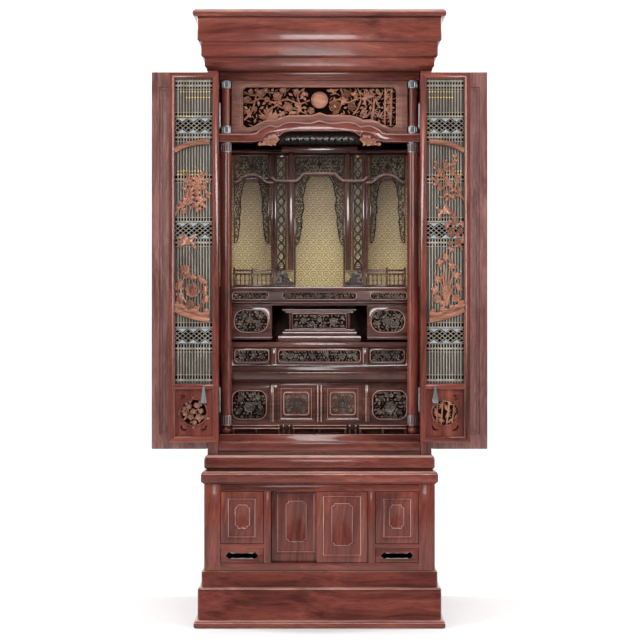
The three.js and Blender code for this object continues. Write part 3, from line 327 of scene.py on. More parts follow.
LATTICE_WOOD = ((0.04, 0.034, 0.025), (0.20, 0.175, 0.14), (0.32, 0.285, 0.235), (0.50, 0.45, 0.37))
CREVICE = 0.011  # how far the painted shade of ambient occlusion reaches out of a corner, in metres


def wood(name, axis, tones, gloss, coat, streaks, crevice_shade):
    material, shader, place = start_material(name)
    bend = noise(place, 1.7, detail=2.0)
    stretched = place.make("ShaderNodeMapping", None, {"Vector": place, "Scale": GRAIN[axis]})
    warped = stretched.make("ShaderNodeVectorMath", {"operation": "ADD"}, {0: stretched, 1: bend * 0.11})
    broad = noise(warped, 24.0, detail=5.0, roughness=0.62, distortion=0.35)
    fine = noise(warped, 120.0, detail=3.0, roughness=0.6)
    pores = noise(stretched, 420.0, detail=1.0)
    figure = (broad - 0.5) * (1.5 * streaks) + (fine - 0.5) * 0.7 + 0.45
    stops = [(0.0, tones[0]), (0.34, tones[1]), (0.62, tones[2]), (1.0, tones[3])]
    colour = figure.make("ShaderNodeValToRGB", {"stops": stops}, {"Fac": figure})
    shade = pores.over(0.30, 0.42) * 0.35 + 0.65
    colour = shade.mix((*tones[0], 1), colour)
    # Painted shade: where ambient occlusion finds a corner or crevice, the colour is darkened towards the darkest
    # tone.
    if crevice_shade:
        open_air = place.make("ShaderNodeAmbientOcclusion", {"samples": 6}, {"Distance": CREVICE}, out=1)
        colour = ((1 - open_air.over(0.25, 0.92)) * crevice_shade).mix(colour, (*tones[0], 1))
    roughness = fine * 0.10 + gloss
    normal = bump(place, pores * 0.5 + broad * 0.5, 0.06, 0.0006)
    finish_shader(shader, colour, roughness, normal, Coat_Weight=coat * 0.5, Coat_Roughness=0.05,
                  Specular_IOR_Level=0.25)
    return material


WOODS = {  # use: name, tones, gloss, coat, streaks, and painted shade in the crevices
    "rosewood": ("rosewood", ROSEWOOD, 0.16, 0.6, 1.0, 0.0),
    "inner_wood": ("inner_rosewood", INNER_WOOD, 0.13, 0.9, 1.0, 0.75),
    "carved_wood": ("carved_rosewood", CARVED_WOOD, 0.24, 0.6, 0.7, 1.0),
    "dark_carved": ("dark_carving", DARK_CARVED, 0.16, 1.0, 0.7, 1.0),
    "pale_edge": ("pale_edge", PAINTED_HIGHLIGHT, 0.16, 1.6, 1.0, 0.4),
    "leaf_wood": ("leaf_rosewood", LEAF_WOOD, 0.22, 0.6, 1.0, 0.7),
    "backing": ("lattice_backing", BACKING_WOOD, 0.4, 0.2, 1.0, 0.7),
    "matt": ("matt_rosewood", MATT_WOOD, 0.42, 0.1, 1.0, 0.8),
    "black_carved": ("black_carving", BLACK_CARVED, 0.45, 0.15, 0.7, 1.0),
    "lattice_wood": ("lattice_slats", LATTICE_WOOD, 0.24, 0.7, 0.7, 0.9),
}
woods = {(use, axis_name): wood(f"{name}_{axis_name}", axis_name, *look)
         for axis_name in "xyz" for use, (name, *look) in WOODS.items()}
print("woods:", len(woods))

# %% [markdown]
# The panels behind the shrine are gold brocade: a lattice of slanted squares with a flower in each, woven in a
# thin dark thread. The lattice comes from two slanting coordinates of which only the fraction is kept, and the
# flower from the angle and the distance to the middle of its square.

# %% Gold brocade
WEAVE = 0.0370  # from one flower to the next


def gold_brocade():
    material, shader, place = start_material("gold_brocade")
    x = place.make("ShaderNodeSeparateXYZ", None, {"Vector": place})
    z = Wire(x.tree, x.socket.node.outputs["Z"])
    cell_u = ((x + z) / WEAVE).fraction() - 0.5
    cell_v = ((x - z) / WEAVE).fraction() - 0.5
    lines = abs(cell_u).higher(abs(cell_v)).over(0.425, 0.465)
    reach = x.maths("SQRT", cell_u * cell_u + cell_v * cell_v)
    angle = x.maths("ARCTAN2", cell_v, cell_u)
    petal = abs(x.maths("COSINE", angle * 3.0)) * 0.06 + 0.235
    ring = 1 - abs(reach - petal).over(0.045, 0.085)
    heart = 1 - abs(reach - 0.075).over(0.035, 0.07)
    scroll = noise(place, 260.0, detail=1.0)
    sprigs = (1 - abs(scroll - 0.5).over(0.03, 0.06)) * reach.over(0.34, 0.38)
    pattern = lines.higher(ring.higher(heart)).higher(sprigs * 0.7)
    dashes = (z * 150.0).fraction().over(0.3, 0.4)
    pattern = pattern * (dashes * 0.55 + 0.45)
    # Painted light: the gold is painted brighter low down and darker towards the top, for how the light falls on the
    # cloth.
    painted_light = (noise(place, 7.0) * 0.12 + z).over(1.28, 1.02)
    gold = painted_light.mix((0.46, 0.35, 0.21, 1), (0.80, 0.62, 0.31, 1))
    colour = (pattern * 0.64).mix(gold, (0.035, 0.026, 0.018, 1))
    thread = place.make("ShaderNodeTexWave", {"bands_direction": "Z"}, {"Vector": place, "Scale": 900.0})
    normal = bump(place, pattern * -0.5 + thread * 0.25, 0.35, 0.0008)
    finish_shader(shader, colour, pattern * 0.2 + 0.42, normal, Metallic=0.25, Sheen_Weight=0.15)
    return material


brocade = gold_brocade()
print("brocade: one flower every", round(WEAVE / MM), "mm")

# %% [markdown]
# Hinges and pulls are bright silver-coloured metal, and the caps of the columns are darker. Both show faint
# brushing, which breaks up the highlight. Small pale-blue shell chips fill the diamonds of the lattice, and
# gilt dots sit on the slats.

# %% Metals and inlays


def metal(name, colour, roughness):
    material, shader, place = start_material(name)
    brushed = place.make("ShaderNodeMapping", None, {"Vector": place, "Scale": (60.0, 60.0, 900.0)})
    streak = noise(brushed, 1.0, detail=2.0)
    tarnish = noise(place, 45.0)
    dark = tuple(c * 0.72 for c in colour)
    shade = tarnish.over(0.35, 0.7).mix((*colour, 1), (*dark, 1))
    finish_shader(shader, shade, streak * 0.12 + roughness, bump(place, streak, 0.08, 0.0003), Metallic=1.0)
    return material


def inlay(name, first, second, roughness, shine=0.5):
    material, shader, place = start_material(name)
    cloud = noise(place, 160.0, detail=2.0)
    finish_shader(shader, cloud.mix((*first, 1), (*second, 1)), cloud * 0.2 + roughness,
                  bump(place, cloud, 0.1, 0.0004),
                  Specular_IOR_Level=shine)
    return material


silver = metal("silver_metal", (0.78, 0.79, 0.81), 0.2)
dark_silver = metal("aged_silver", (0.30, 0.31, 0.33), 0.26)
gilt = metal("gilt", (0.72, 0.46, 0.16), 0.28)
shell = inlay("shell_chips", (0.19, 0.235, 0.26), (0.32, 0.37, 0.40), 0.3)
# The shadowed ground is a painted shadow: a near-black surface set where only shade falls.
shadow = inlay("shadowed_ground", (0.006, 0.003, 0.0025), (0.010, 0.005, 0.004), 0.75, 0.03)
finishes = {"gold_brocade": brocade, "silver_metal": silver}
print("metals and inlays: 5")

# %% [markdown]
# The frame's boards have sharp edges, and no joiner leaves them so: a hand plane and the lacquer round every
# edge, and those rounds catch the light. Each board is therefore copied, its loose triangles are merged into
# clean faces, and a Bevel modifier rounds the edges by a named amount. The copy stands for the CAD board. The
# ends of sideways boards show their grain from the side, and the narrow rounds that face up and forward are painted
# pale, a painted highlight.

# %% Rounded boards


def activate(obj):
    bpy.ops.object.select_all(action="DESELECT")
    obj.select_set(True)
    bpy.context.view_layer.objects.active = obj
    return obj


def apply_modifier(obj, kind, **settings):
    activate(obj)
    modifier = obj.modifiers.new(kind.lower(), kind)
    for name, value in settings.items():
        setattr(modifier, name, value)
    bpy.ops.object.modifier_apply(modifier=modifier.name)
    return obj


def clean_copy(node, name):
    piece = linked(name, frame["nodes"][node].data.copy())
    piece.data.materials.clear()
    activate(piece)
    bpy.ops.object.mode_set(mode="EDIT")
    bpy.ops.mesh.select_mode(type="VERT")
    bpy.ops.mesh.select_all(action="SELECT")
    bpy.ops.mesh.remove_doubles(threshold=0.00002)
    bpy.ops.mesh.customdata_custom_splitnormals_clear()
    bpy.ops.mesh.dissolve_limited(angle_limit=math.radians(1))
    bpy.ops.object.mode_set(mode="OBJECT")
    return piece


def linked(name, mesh):
    """A new object with that mesh, at the origin of the scene."""
    obj = bpy.data.objects.new(name, mesh)
    bpy.context.collection.objects.link(obj)
    return obj


def keep(piece, body, material_slot, material, *nodes):
    """The piece moves with its body, takes its finish and stands for its nodes."""
    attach(piece, body)
    if material is not None:
        piece.data.materials.clear()
        piece.data.materials.append(material)
    if nodes:
        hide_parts(*nodes)
    return piece


def round_edges(node, axis, radius):
    piece = clean_copy(node, node + "_board")
    apply_modifier(piece, "BEVEL", width=radius, segments=3, limit_method="ANGLE",
                   angle_limit=math.radians(25),
                   use_clamp_overlap=True)
    activate(piece)
    bpy.ops.object.shade_smooth_by_angle(angle=math.radians(35))
    material = finishes.get(slot_of[node]) or woods[slot_of[node], axis]
    keep(piece, body_of[node], slot_of[node], material, node)
    if node == "stand_carcass":
        upright_grain(piece)
    elif node == "transom_frame":
        piece.data.materials.clear()
        piece.data.materials.append(woods["matt", "x"])
    elif axis == "x" and slot_of[node] == "rosewood":
        piece.data.materials.append(woods["rosewood", "y"])
        for face in piece.data.polygons:
            face.material_index = 1 if abs(face.normal.x) > 0.8 else 0
        painted_highlight_arris(piece)
    return piece


def painted_highlight_arris(piece):
    """The rounded arrises that face up and forward are painted pale: a painted highlight, a thin light line along
    each board.
    """
    piece.data.materials.append(woods["pale_edge", "x"])
    for face in piece.data.polygons:
        heights = [piece.data.vertices[i].co.z for i in face.vertices]
        narrow = max(heights) - min(heights) < 3 * MM
        if narrow and face.normal.y < -0.2 and face.normal.z > 0.35:
            face.material_index = 2


def upright_grain(piece):
    """The sides of the stand have their grain upright."""
    piece.data.materials.append(woods["rosewood", "z"])
    for face in piece.data.polygons:
        across, up = abs(face.center.x) / MM, face.center.z / MM
        stile = 136 < across < 156.5 and 181 < up < 381
        face.material_index = 1 if across > 277.5 or stile else 0


BOARDS = {  # node: grain axis and edge radius
    "stand_plinth": ("x", 2.2), "stand_carcass": ("x", 1.2), "stand_top_board": ("x", 3.0),
    "stand_drawer_left": ("x", 0.8), "stand_drawer_right": ("x", 0.8),
    "base_moulding": ("x", 2.0), "pull_out_tray": ("x", 1.5), "sill_rail": ("x", 1.8),
    "cabinet_floor": ("x", 1.0),
    "side_wall_left": ("z", 1.2), "side_wall_right": ("z", 1.2), "back_board": ("z", 1.0),
    "ceiling": ("x", 1.0),
    "crown_moulding": ("x", 2.2), "crown_top_board": ("x", 3.0), "lintel_moulding": ("x", 1.8),
    "transom_frame": ("x", 1.2), "curved_beam": ("x", 2.4),
    "shrine_rail": ("x", 1.5), "drawer_tier": ("x", 2.0),
}
for node_name, (grain_axis, edge) in BOARDS.items():
    round_edges(node_name, grain_axis, edge * MM)
print("rounded boards:", len(BOARDS))

# %% [markdown]
# A carver works from a small stock of forms: a petal, a leaf, a twig. Here too each form is modelled once, at a
# size of one, facing the front, and then stamped wherever the design needs it. A stamp is a copy of the form's
# mesh, turned, sized and set into the mesh of the carving, so that each carving ends as one piece.

# %% Starting and shaping a form


def start_form(name):
    """Name the object that an operator has just added, and take its size and place into its mesh."""
    form = bpy.context.object
    form.name = name
    bpy.ops.object.transform_apply(location=True, rotation=True, scale=True)
    return form


def select_faces(obj, wanted):
    """Leave object obj in edit mode with only the faces selected for which wanted(face) holds."""
    activate(obj)
    bpy.ops.object.mode_set(mode="EDIT")
    bpy.ops.mesh.select_mode(type="FACE")
    bpy.ops.mesh.select_all(action="DESELECT")
    bpy.ops.object.mode_set(mode="OBJECT")
    for face in obj.data.polygons:
        face.select = wanted(face)
    bpy.ops.object.mode_set(mode="EDIT")


def leave_edit():
    bpy.ops.object.mode_set(mode="OBJECT")


def mesh_from(points, faces, name, edges=()):
    mesh = bpy.data.meshes.new(name)
    mesh.from_pydata(points, list(edges), faces)
    return linked(name, mesh)


def outward(obj, merge=0.0):
    """Turn all faces outwards, once the points that are nearer than merge have become one."""
    activate(obj)
    bpy.ops.object.mode_set(mode="EDIT")
    bpy.ops.mesh.select_mode(type="VERT")
    bpy.ops.mesh.select_all(action="SELECT")
    if merge:
        bpy.ops.mesh.remove_doubles(threshold=merge)
    bpy.ops.mesh.normals_make_consistent(inside=False)
    leave_edit()
    return obj


def recalculate(obj):
    return outward(obj, 0.000005)


def joined(objects, name):
    bpy.ops.object.select_all(action="DESELECT")
    for obj in objects:
        obj.select_set(True)
    bpy.context.view_layer.objects.active = objects[0]
    bpy.ops.object.join()
    objects[0].name = name
    return objects[0]


def spun(name, profile, sides, centre=(0, 0), axis="Z"):
    """A turned form: the profile is [radius, height], spun round an upright axis through centre."""
    obj = mesh_from([(r, 0, h) for r, h in profile], [], name,
                    [(i, i + 1) for i in range(len(profile) - 1)])
    activate(obj)
    bpy.ops.object.mode_set(mode="EDIT")
    bpy.ops.mesh.select_all(action="SELECT")
    bpy.ops.mesh.spin(steps=sides, angle=2 * math.pi, center=(0, 0, 0), axis=(0, 0, 1))
    leave_edit()
    recalculate(obj)
    if axis == "Y":
        obj.data.transform(Matrix.Rotation(math.pi / 2, 4, "X"))
    obj.data.transform(Matrix.Translation((centre[0], centre[1], 0)))
    return obj


print("shaping helpers ready")

# %% [markdown]
# A plum blossom has five round petals, each a shallow dish whose rim catches the light, round a small heart.
# One petal is a ten-sided disc, inset and pushed in; four copies of it are turned round the middle.

# %% Plum blossom
forms = {}


def dish(name, radius, depth, sides=10, hollow=0.3, rim=0.22):
    """A shallow dish that faces the front, with its back at y = 0."""
    bpy.ops.object.select_all(action="DESELECT")
    bpy.ops.mesh.primitive_cylinder_add(vertices=sides, radius=radius, depth=depth,
                                        location=(0, -depth / 2, 0),
                                        rotation=(math.pi / 2, 0, 0))
    form = start_form(name)
    select_faces(form, lambda face: face.normal.y < -0.9)
    bpy.ops.mesh.inset(thickness=radius * rim)
    bpy.ops.transform.translate(value=(0, depth * hollow, 0))
    bpy.ops.mesh.inset(thickness=radius * 0.3)
    bpy.ops.transform.translate(value=(0, depth * hollow, 0))
    leave_edit()
    return form


def ring_of(form, count, reach, start=0.0, tilt=0.0, squash=1.0):
    """Copies of a form set round the origin, reach away from it, tilted towards the middle."""
    copies = []
    for i in range(count):
        copy = linked(form.name, form.data.copy())
        turn = Matrix.Rotation(start + 2 * math.pi * i / count, 4, "Y")
        lean = Matrix.Rotation(tilt, 4, "X")
        shape = Matrix.Diagonal((squash, 1, 1, 1))
        copy.data.transform(turn @ Matrix.Translation((0, 0, reach)) @ lean @ shape)
        copies.append(copy)
    return copies


def button_of(radius, depth, y=0.0, sides=8):
    bpy.ops.object.select_all(action="DESELECT")
    bpy.ops.mesh.primitive_uv_sphere_add(segments=sides, ring_count=5, radius=radius, location=(0, y, 0),
                                         scale=(1, depth, 1))
    return start_form("heart")


def keep_form(name, objects):
    form = joined(objects, "form_" + name)
    forms[name] = form.data.copy()
    bpy.data.objects.remove(form)
    print(name, "has", len(forms[name].polygons), "faces")


petal = dish("petal", 0.46, 0.3)
keep_form("plum", ring_of(petal, 5, 0.52, tilt=0.25) + [button_of(0.2, 1.2, -0.12)])
bpy.data.objects.remove(petal)

# %% [markdown]
# A peony is many petals in rings, wide and low outside, small and steep inside. A chrysanthemum is one thin
# petal repeated in two rings.

# %% Peony and chrysanthemum
outer = dish("outer_petal", 0.36, 0.24, sides=9)
inner = dish("inner_petal", 0.26, 0.24, sides=8)
small = dish("small_petal", 0.17, 0.22, sides=7)
rings = ring_of(outer, 8, 0.66, tilt=0.25) + ring_of(inner, 6, 0.4, 0.4, tilt=0.6) + ring_of(small, 5, 0.2,
                                                                                             tilt=0.9)
for i, copy in enumerate(rings):
    copy.data.transform(Matrix.Translation((0, 0 if i < 8 else (-0.14 if i < 14 else -0.26), 0)))
keep_form("peony", rings + [button_of(0.16, 1.0, -0.34)])
for part in (outer, inner, small):
    bpy.data.objects.remove(part)

slim = dish("slim_petal", 0.3, 0.24, sides=8)
daisy = ring_of(slim, 11, 0.68, tilt=0.2, squash=0.5)
daisy += ring_of(slim, 8, 0.36, 0.3, tilt=0.55, squash=0.55)
for i, copy in enumerate(daisy):
    copy.data.transform(Matrix.Translation((0, 0 if i < 11 else -0.14, 0)))
keep_form("chrysanthemum", daisy + [button_of(0.2, 0.9, -0.2)])
bpy.data.objects.remove(slim)

# %% [markdown]
# A leaf starts at its stalk, bulges, and runs out to a point, with a raised rib along its middle. It could be a
# cube that is cut and scaled by hand, but a list of widths is easier to change: each width becomes a flat diamond
# of four points, the diamonds are lifted into a slight arch, and faces join one to the next.

# %% Leaves


def leaf_form(name, widths, arch, thickness=0.1, rib=0.1):
    """A leaf from the origin to z = 1, made from one width for each length of it."""
    points, faces = [], []
    last = len(widths) - 1
    for i, width in enumerate(widths):
        z = i / last
        lift = -arch * math.sin(math.pi * z)
        points += [(-width, lift, z), (0, lift - rib * min(1, width * 5), z), (width, lift, z),
                   (0, lift + thickness, z)]
    for i in range(last):
        for k in range(4):
            a, b = i * 4 + k, i * 4 + (k + 1) % 4
            faces.append((a, b, b + 4, a + 4))
    faces += [(3, 2, 1, 0), tuple(last * 4 + k for k in range(4))]
    return recalculate(mesh_from(points, faces, name))


keep_form("leaf", [leaf_form("leaf", (0.03, 0.17, 0.26, 0.22, 0.11, 0.012), 0.1)])
keep_form("blade", [leaf_form("blade", (0.035, 0.075, 0.085, 0.07, 0.04, 0.008), 0.06, 0.05, 0.04)])
keep_form("broad_leaf", [leaf_form("broad_leaf", (0.05, 0.3, 0.26, 0.4, 0.24, 0.27, 0.12, 0.012), 0.16, 0.1,
                                   0.12)])

# %% [markdown]
# Scroll foliage, which fills the friezes, is a curl that thins out as it winds in. It is a tube whose middle
# line is a spiral. Pine is a half circle of needles, and a rock is a lump with flat facets.

# %% Scroll, pine and rock


def tube_mesh(points, radii, sides=5, flat=0.8):
    """A tube through [x, y, z] points in the x-z plane, one radius for each point."""
    verts, faces = [], []
    count = len(points)
    for i, (x, y, z) in enumerate(points):
        before, after = points[max(0, i - 1)], points[min(count - 1, i + 1)]
        dx, dz = after[0] - before[0], after[2] - before[2]
        length = math.hypot(dx, dz) or 1
        nx, nz = -dz / length, dx / length
        for k in range(sides):
            a = 2 * math.pi * k / sides
            side, rise = radii[i] * math.cos(a), radii[i] * flat * math.sin(a)
            verts.append((x + nx * side, y + rise, z + nz * side))
    for i in range(count - 1):
        for k in range(sides):
            a, b = i * sides + k, i * sides + (k + 1) % sides
            faces.append((a, b, b + sides, a + sides))
    faces += [tuple(range(sides - 1, -1, -1)), tuple((count - 1) * sides + k for k in range(sides))]
    mesh = bpy.data.meshes.new("tube")
    mesh.from_pydata(verts, [], faces)
    return mesh


def tube(name, points, radii, sides=5, flat=0.8):
    return recalculate(linked(name, tube_mesh(points, radii, sides, flat)))


curl = []
for i in range(12):
    t = i / 11
    reach, angle = 0.52 * (1 - 0.72 * t), math.radians(-120 + 400 * t)
    curl.append((reach * math.cos(angle) + 0.1, -0.12 * t, reach * math.sin(angle) + 0.5))
scroll_parts = [tube("curl", curl,
                     [0.05 + 0.11 * math.sin(math.pi * (0.12 + 0.8 * i / 11)) for i in range(12)])]
keep_form("scroll", scroll_parts + [leaf_form("scroll_leaf", (0.03, 0.15, 0.13, 0.015), 0.1)])

needle = leaf_form("needle", (0.05, 0.045, 0.01), 0.02, 0.05, 0.04)
needles = []
for i in range(9):
    copy = linked("needle", needle.data.copy())
    copy.data.transform(Matrix.Rotation(math.radians(-88 + 22 * i), 4,
                                        "Y") @ Matrix.Diagonal((1, 1, 0.8, 1)))
    needles.append(copy)
keep_form("pine", needles + [button_of(0.2, 0.8)])
bpy.data.objects.remove(needle)

bpy.ops.object.select_all(action="DESELECT")
bpy.ops.mesh.primitive_ico_sphere_add(subdivisions=2, radius=0.5)
rock = start_form("rock")
dice = random.Random(4)
for vertex in rock.data.vertices:
    vertex.co *= 1 + dice.uniform(-0.22, 0.2)
    vertex.co.y *= 0.6
keep_form("rock", [rock])

# %% [markdown]
# A crane in flight: a long body, a neck stretched out, two wings of seven feathers each, and trailing legs.

# %% Crane
feather = leaf_form("feather", (0.04, 0.085, 0.09, 0.07, 0.02), 0.06, 0.05, 0.05)
bird = [tube("body", [(-0.3, 0, 0.02), (-0.12, -0.05, 0.0), (0.1, -0.06, 0.03), (0.28, -0.04, 0.1)],
             [0.05, 0.13, 0.14, 0.06], 8, 0.9)]
bird.append(tube("neck", [(0.24, -0.04, 0.08), (0.36, -0.06, 0.16), (0.46, -0.05, 0.2),
                          (0.56, -0.04, 0.18)],
                 [0.055, 0.04, 0.045, 0.012], 6))
bird.append(tube("legs", [(-0.25, 0, 0.0), (-0.45, 0, -0.1), (-0.6, 0, -0.2)], [0.035, 0.02, 0.01], 5))
for base, first, gap, reach in ((0.0, -8, -14, 0.62), (0.08, 172, -13, 0.56)):
    for i in range(7):
        copy = linked("feather", feather.data.copy())
        size = reach * (1 - 0.06 * i)
        place = Matrix.Translation((base - 0.045 * i, -0.05 - 0.02 * i, 0.0))
        turned = Matrix.Rotation(math.radians(first + gap * i), 4, "Y")
        copy.data.transform(place @ turned @ Matrix.Diagonal((size, size, size, 1)))
        bird.append(copy)
keep_form("crane", bird)
bpy.data.objects.remove(feather)

# %% [markdown]
# A carving gathers stamps and twigs. Its place on the cabinet is given in millimetres, as the frame's record
# gives it, and it ends as one mesh. Twigs are smooth lines through a few points, thick at the foot and thin at
# the tip, and leaves grow along them left and right.

# %% The carver's bench


class Carving:
    def __init__(self, name, seed=1, flat=1.0):
        self.name, self.mesh, self.dice, self.flat = name, bmesh.new(), random.Random(seed), flat

    def add(self, mesh):
        self.mesh.from_mesh(mesh)
        bpy.data.meshes.remove(mesh)

    def take(self, obj):
        """Put an object's mesh into the carving and remove the object."""
        self.add(obj.data.copy())
        bpy.data.objects.remove(obj)

    def stamp(self, form, x, z, size, turn=0.0, y=0.0, tip=0.0, wide=1.0):
        """One form at x, z, size millimetres, turned in degrees from upright and pressed as flat as the carving."""
        mesh = forms[form].copy()
        turned = Matrix.Rotation(math.radians(turn), 4, "Y") @ Matrix.Rotation(math.radians(tip), 4, "X")
        sized = Matrix.Diagonal((size * wide * MM, size * MM, size * MM, 1))
        pressed = Matrix.Diagonal((1, self.flat, 1, 1))
        mesh.transform(Matrix.Translation((x * MM, y * MM, z * MM)) @ pressed @ turned @ sized)
        self.add(mesh)

    def twig(self, points, foot, tip, y=0.0, arch=0.0, sides=5, steps=5):
        """A twig through [x, z] points in millimetres."""
        line = smooth_line(points, steps)
        last = len(line) - 1
        path = [(x * MM, (y - arch * math.sin(math.pi * i / last)) * MM, z * MM) for i,
                (x, z) in enumerate(line)]
        radii = [(foot + (tip - foot) * i / last) * MM for i in range(last + 1)]
        self.add(tube_mesh(path, radii, sides))
        return line

    def leafy(self, points, foot, tip, form, size, gap, y=0.0, spread=55, arch=0.0, skip=0):
        """A twig with leaves left and right."""
        line = self.twig(points, foot, tip, y, arch)
        travelled, side = 0.0, 1
        for i in range(1, len(line)):
            (x0, z0), (x1, z1) = line[i - 1], line[i]
            travelled += math.hypot(x1 - x0, z1 - z0)
            if travelled < gap or i <= skip:
                continue
            travelled, side = 0.0, -side
            heading = math.degrees(math.atan2(x1 - x0, z1 - z0))
            grown = size * self.dice.uniform(0.8, 1.2)
            self.stamp(form, x1, z1, grown, heading + side * spread + self.dice.uniform(-14, 14),
                       y - self.dice.uniform(0, 1.2), tip=self.dice.uniform(-22, 4))
        heading = math.degrees(math.atan2(line[-1][0] - line[-2][0], line[-1][1] - line[-2][1]))
        self.stamp(form, *line[-1], size, heading, y - 0.5)

    def cluster(self, form, x, z, size, count, spread=360, start=0.0, y=0.0, reach=0.0, tip=-14):
        """Forms that fan out from one point."""
        for i in range(count):
            turn = start + spread * i / max(1,
                                            count if spread == 360 else count - 1) + self.dice.uniform(-8,
                                                                                                       8)
            away = math.radians(turn)
            self.stamp(form, x + reach * math.sin(away), z + reach * math.cos(away),
                       size * self.dice.uniform(0.82, 1.12), turn, y - self.dice.uniform(0, 1), tip=tip)

    def culm(self, x0, z0, x1, z1, radius, y=0.0, joints=5):
        """A bamboo cane with its joints."""
        path, radii = [], []
        for i in range(joints):
            for share, thick in ((0.03, 1.28), (0.1, 1.0), (0.9, 1.0), (0.97, 1.28)):
                t = (i + share) / joints
                path.append(((x0 + (x1 - x0) * t) * MM, y * MM, (z0 + (z1 - z0) * t) * MM))
                radii.append(radius * thick * MM)
        self.add(tube_mesh(path, radii, 6, 0.9))

    def done(self, body, material_slot, material, *nodes, inside=None):
        """The finished piece; inside is a (low, high) box in millimetres that it has to stay in."""
        mesh = bpy.data.meshes.new(self.name)
        self.mesh.to_mesh(mesh)
        self.mesh.free()
        piece = linked(self.name, mesh)
        if inside:
            low, high = inside
            for vertex in mesh.vertices:
                for k in range(3):
                    vertex.co[k] = min(max(vertex.co[k], low[k] * MM), high[k] * MM)
        outward(piece)
        bpy.ops.object.shade_smooth_by_angle(angle=math.radians(38))
        return keep(piece, body, material_slot, material, *nodes)


def smooth_line(points, steps):
    """Points of a smooth curve through the given ones."""
    line = []
    padded = [points[0], *points, points[-1]]
    for i in range(1, len(padded) - 2):
        p0, p1, p2, p3 = padded[i - 1:i + 3]
        for k in range(steps):
            t = k / steps
            line.append(tuple(0.5 * ((2 * b) + (c - a) * t + (2 * a - 5 * b + 4 * c - d) * t * t
                                     + (3 * b - a - 3 * c + d) * t ** 3) for a, b, c,
                                     d in zip(p0, p1, p2, p3)))
    return [*line, tuple(points[-1])]


print("forms:", ", ".join(forms))

# %% [markdown]
# Joiners run one moulding round a whole frame and cut it at 45 degrees in the corners. Swept mouldings do the
# same here: a profile is carried round a rectangle, or along a line, and the ends are closed.

# %% Mouldings


def skin(rings, count, closed=False):
    """Faces from each ring of count points to the next, and from the last to the first if closed."""
    faces = []
    for i in range(rings if closed else rings - 1):
        a, b = i * count, (i + 1) % rings * count
        faces += [(a + k, b + k, b + (k + 1) % count, a + (k + 1) % count) for k in range(count)]
    return faces


def end_faces(rings, count):
    return [tuple(range(count)), tuple((rings - 1) * count + k for k in range(count))]


def mitred(name, x0, x1, z0, z1, profile, slot="rosewood"):
    """A frame: profile points are (inset from the outer edge, y), from the back of the outer edge inwards."""
    corners = ((x0, z0, 1, 1), (x1, z0, -1, 1), (x1, z1, -1, -1), (x0, z1, 1, -1))
    points = [((x + sx * inset) * MM, y * MM, (z + sz * inset) * MM) for x, z, sx, sz in corners for inset,
              y in profile]
    frame_piece = recalculate(mesh_from(points, skin(4, len(profile), closed=True), name))
    frame_piece.data.materials.append(woods[slot, "x"])
    frame_piece.data.materials.append(woods[slot, "z"])
    middle_x, middle_z = (x0 + x1) / 2 * MM, (z0 + z1) / 2 * MM
    wide, tall = (x1 - x0) / 2 * MM, (z1 - z0) / 2 * MM
    for face in frame_piece.data.polygons:
        nearer_side = wide - abs(face.center.x - middle_x) < tall - abs(face.center.z - middle_z)
        face.material_index = 1 if nearer_side else 0
    return frame_piece


def along(name, line, profile):
    """A moulding along [x, z] points: the profile is (offset to the left of the line, y), closed."""
    points = []
    count, last = len(profile), len(line) - 1
    for i, (x, z) in enumerate(line):
        before, after = line[max(0, i - 1)], line[min(last, i + 1)]
        dx, dz = after[0] - before[0], after[1] - before[1]
        length = math.hypot(dx, dz) or 1
        points += [((x - dz / length * n) * MM, y * MM, (z + dx / length * n) * MM) for n, y in profile]
    return recalculate(mesh_from(points, skin(last + 1, count) + end_faces(last + 1, count), name))


def layered(name, outlines):
    """A solid through closed outlines, each a list of [x, z] points and a y, with the last and first closed."""
    size = (len(outlines), len(outlines[0][0]))
    points = [(x * MM, y * MM, z * MM) for outline, y in outlines for x, z in outline]
    return recalculate(mesh_from(points, end_faces(*size) + skin(*size), name))


def boxed(x0, x1, z0, z1, cut=0.0, scoop=0):
    """A rectangle's outline; cut chamfers its corners, or scoops them out in that many steps."""
    if not cut:
        return [(x0, z0), (x1, z0), (x1, z1), (x0, z1)]
    outline = []
    for x, z, start in ((x0, z0, 90), (x1, z0, 180), (x1, z1, 270), (x0, z1, 0)):
        sx, sz = (1 if x == x0 else -1), (1 if z == z0 else -1)
        if scoop:
            outline += [(x + cut * math.cos(math.radians(start - 90 * k / scoop)),
                         z + cut * math.sin(math.radians(start - 90 * k / scoop))) for k in range(scoop + 1)]
        elif sx == sz:
            outline += [(x, z + sz * cut), (x + sx * cut, z)]
        else:
            outline += [(x + sx * cut, z), (x, z + sz * cut)]
    return outline


def smooth(piece, angle=30):
    activate(piece)
    bpy.ops.object.shade_smooth_by_angle(angle=math.radians(angle))
    return piece


def box_piece(name, x0, x1, y0, y1, z0, z1, edge=1.0, segments=3):
    """A board in millimetres, with its edges rounded."""
    bpy.ops.object.select_all(action="DESELECT")
    middle = ((x0 + x1) / 2 * MM, (y0 + y1) / 2 * MM, (z0 + z1) / 2 * MM)
    bpy.ops.mesh.primitive_cube_add(size=1, location=middle, scale=((x1 - x0) * MM, (y1 - y0) * MM,
                                                                    (z1 - z0) * MM))
    board = start_form(name)
    if edge:
        apply_modifier(board, "BEVEL", width=edge * MM, segments=segments)
    return smooth(board)


def mirror_copy(piece, name, body):
    """The piece's mirror image on the other side of the cabinet."""
    twin = linked(name, piece.data.copy())
    twin.data.transform(Matrix.Diagonal((-1, 1, 1, 1)))
    outward(twin)
    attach(twin, body)
    return twin


print("moulding helpers ready")
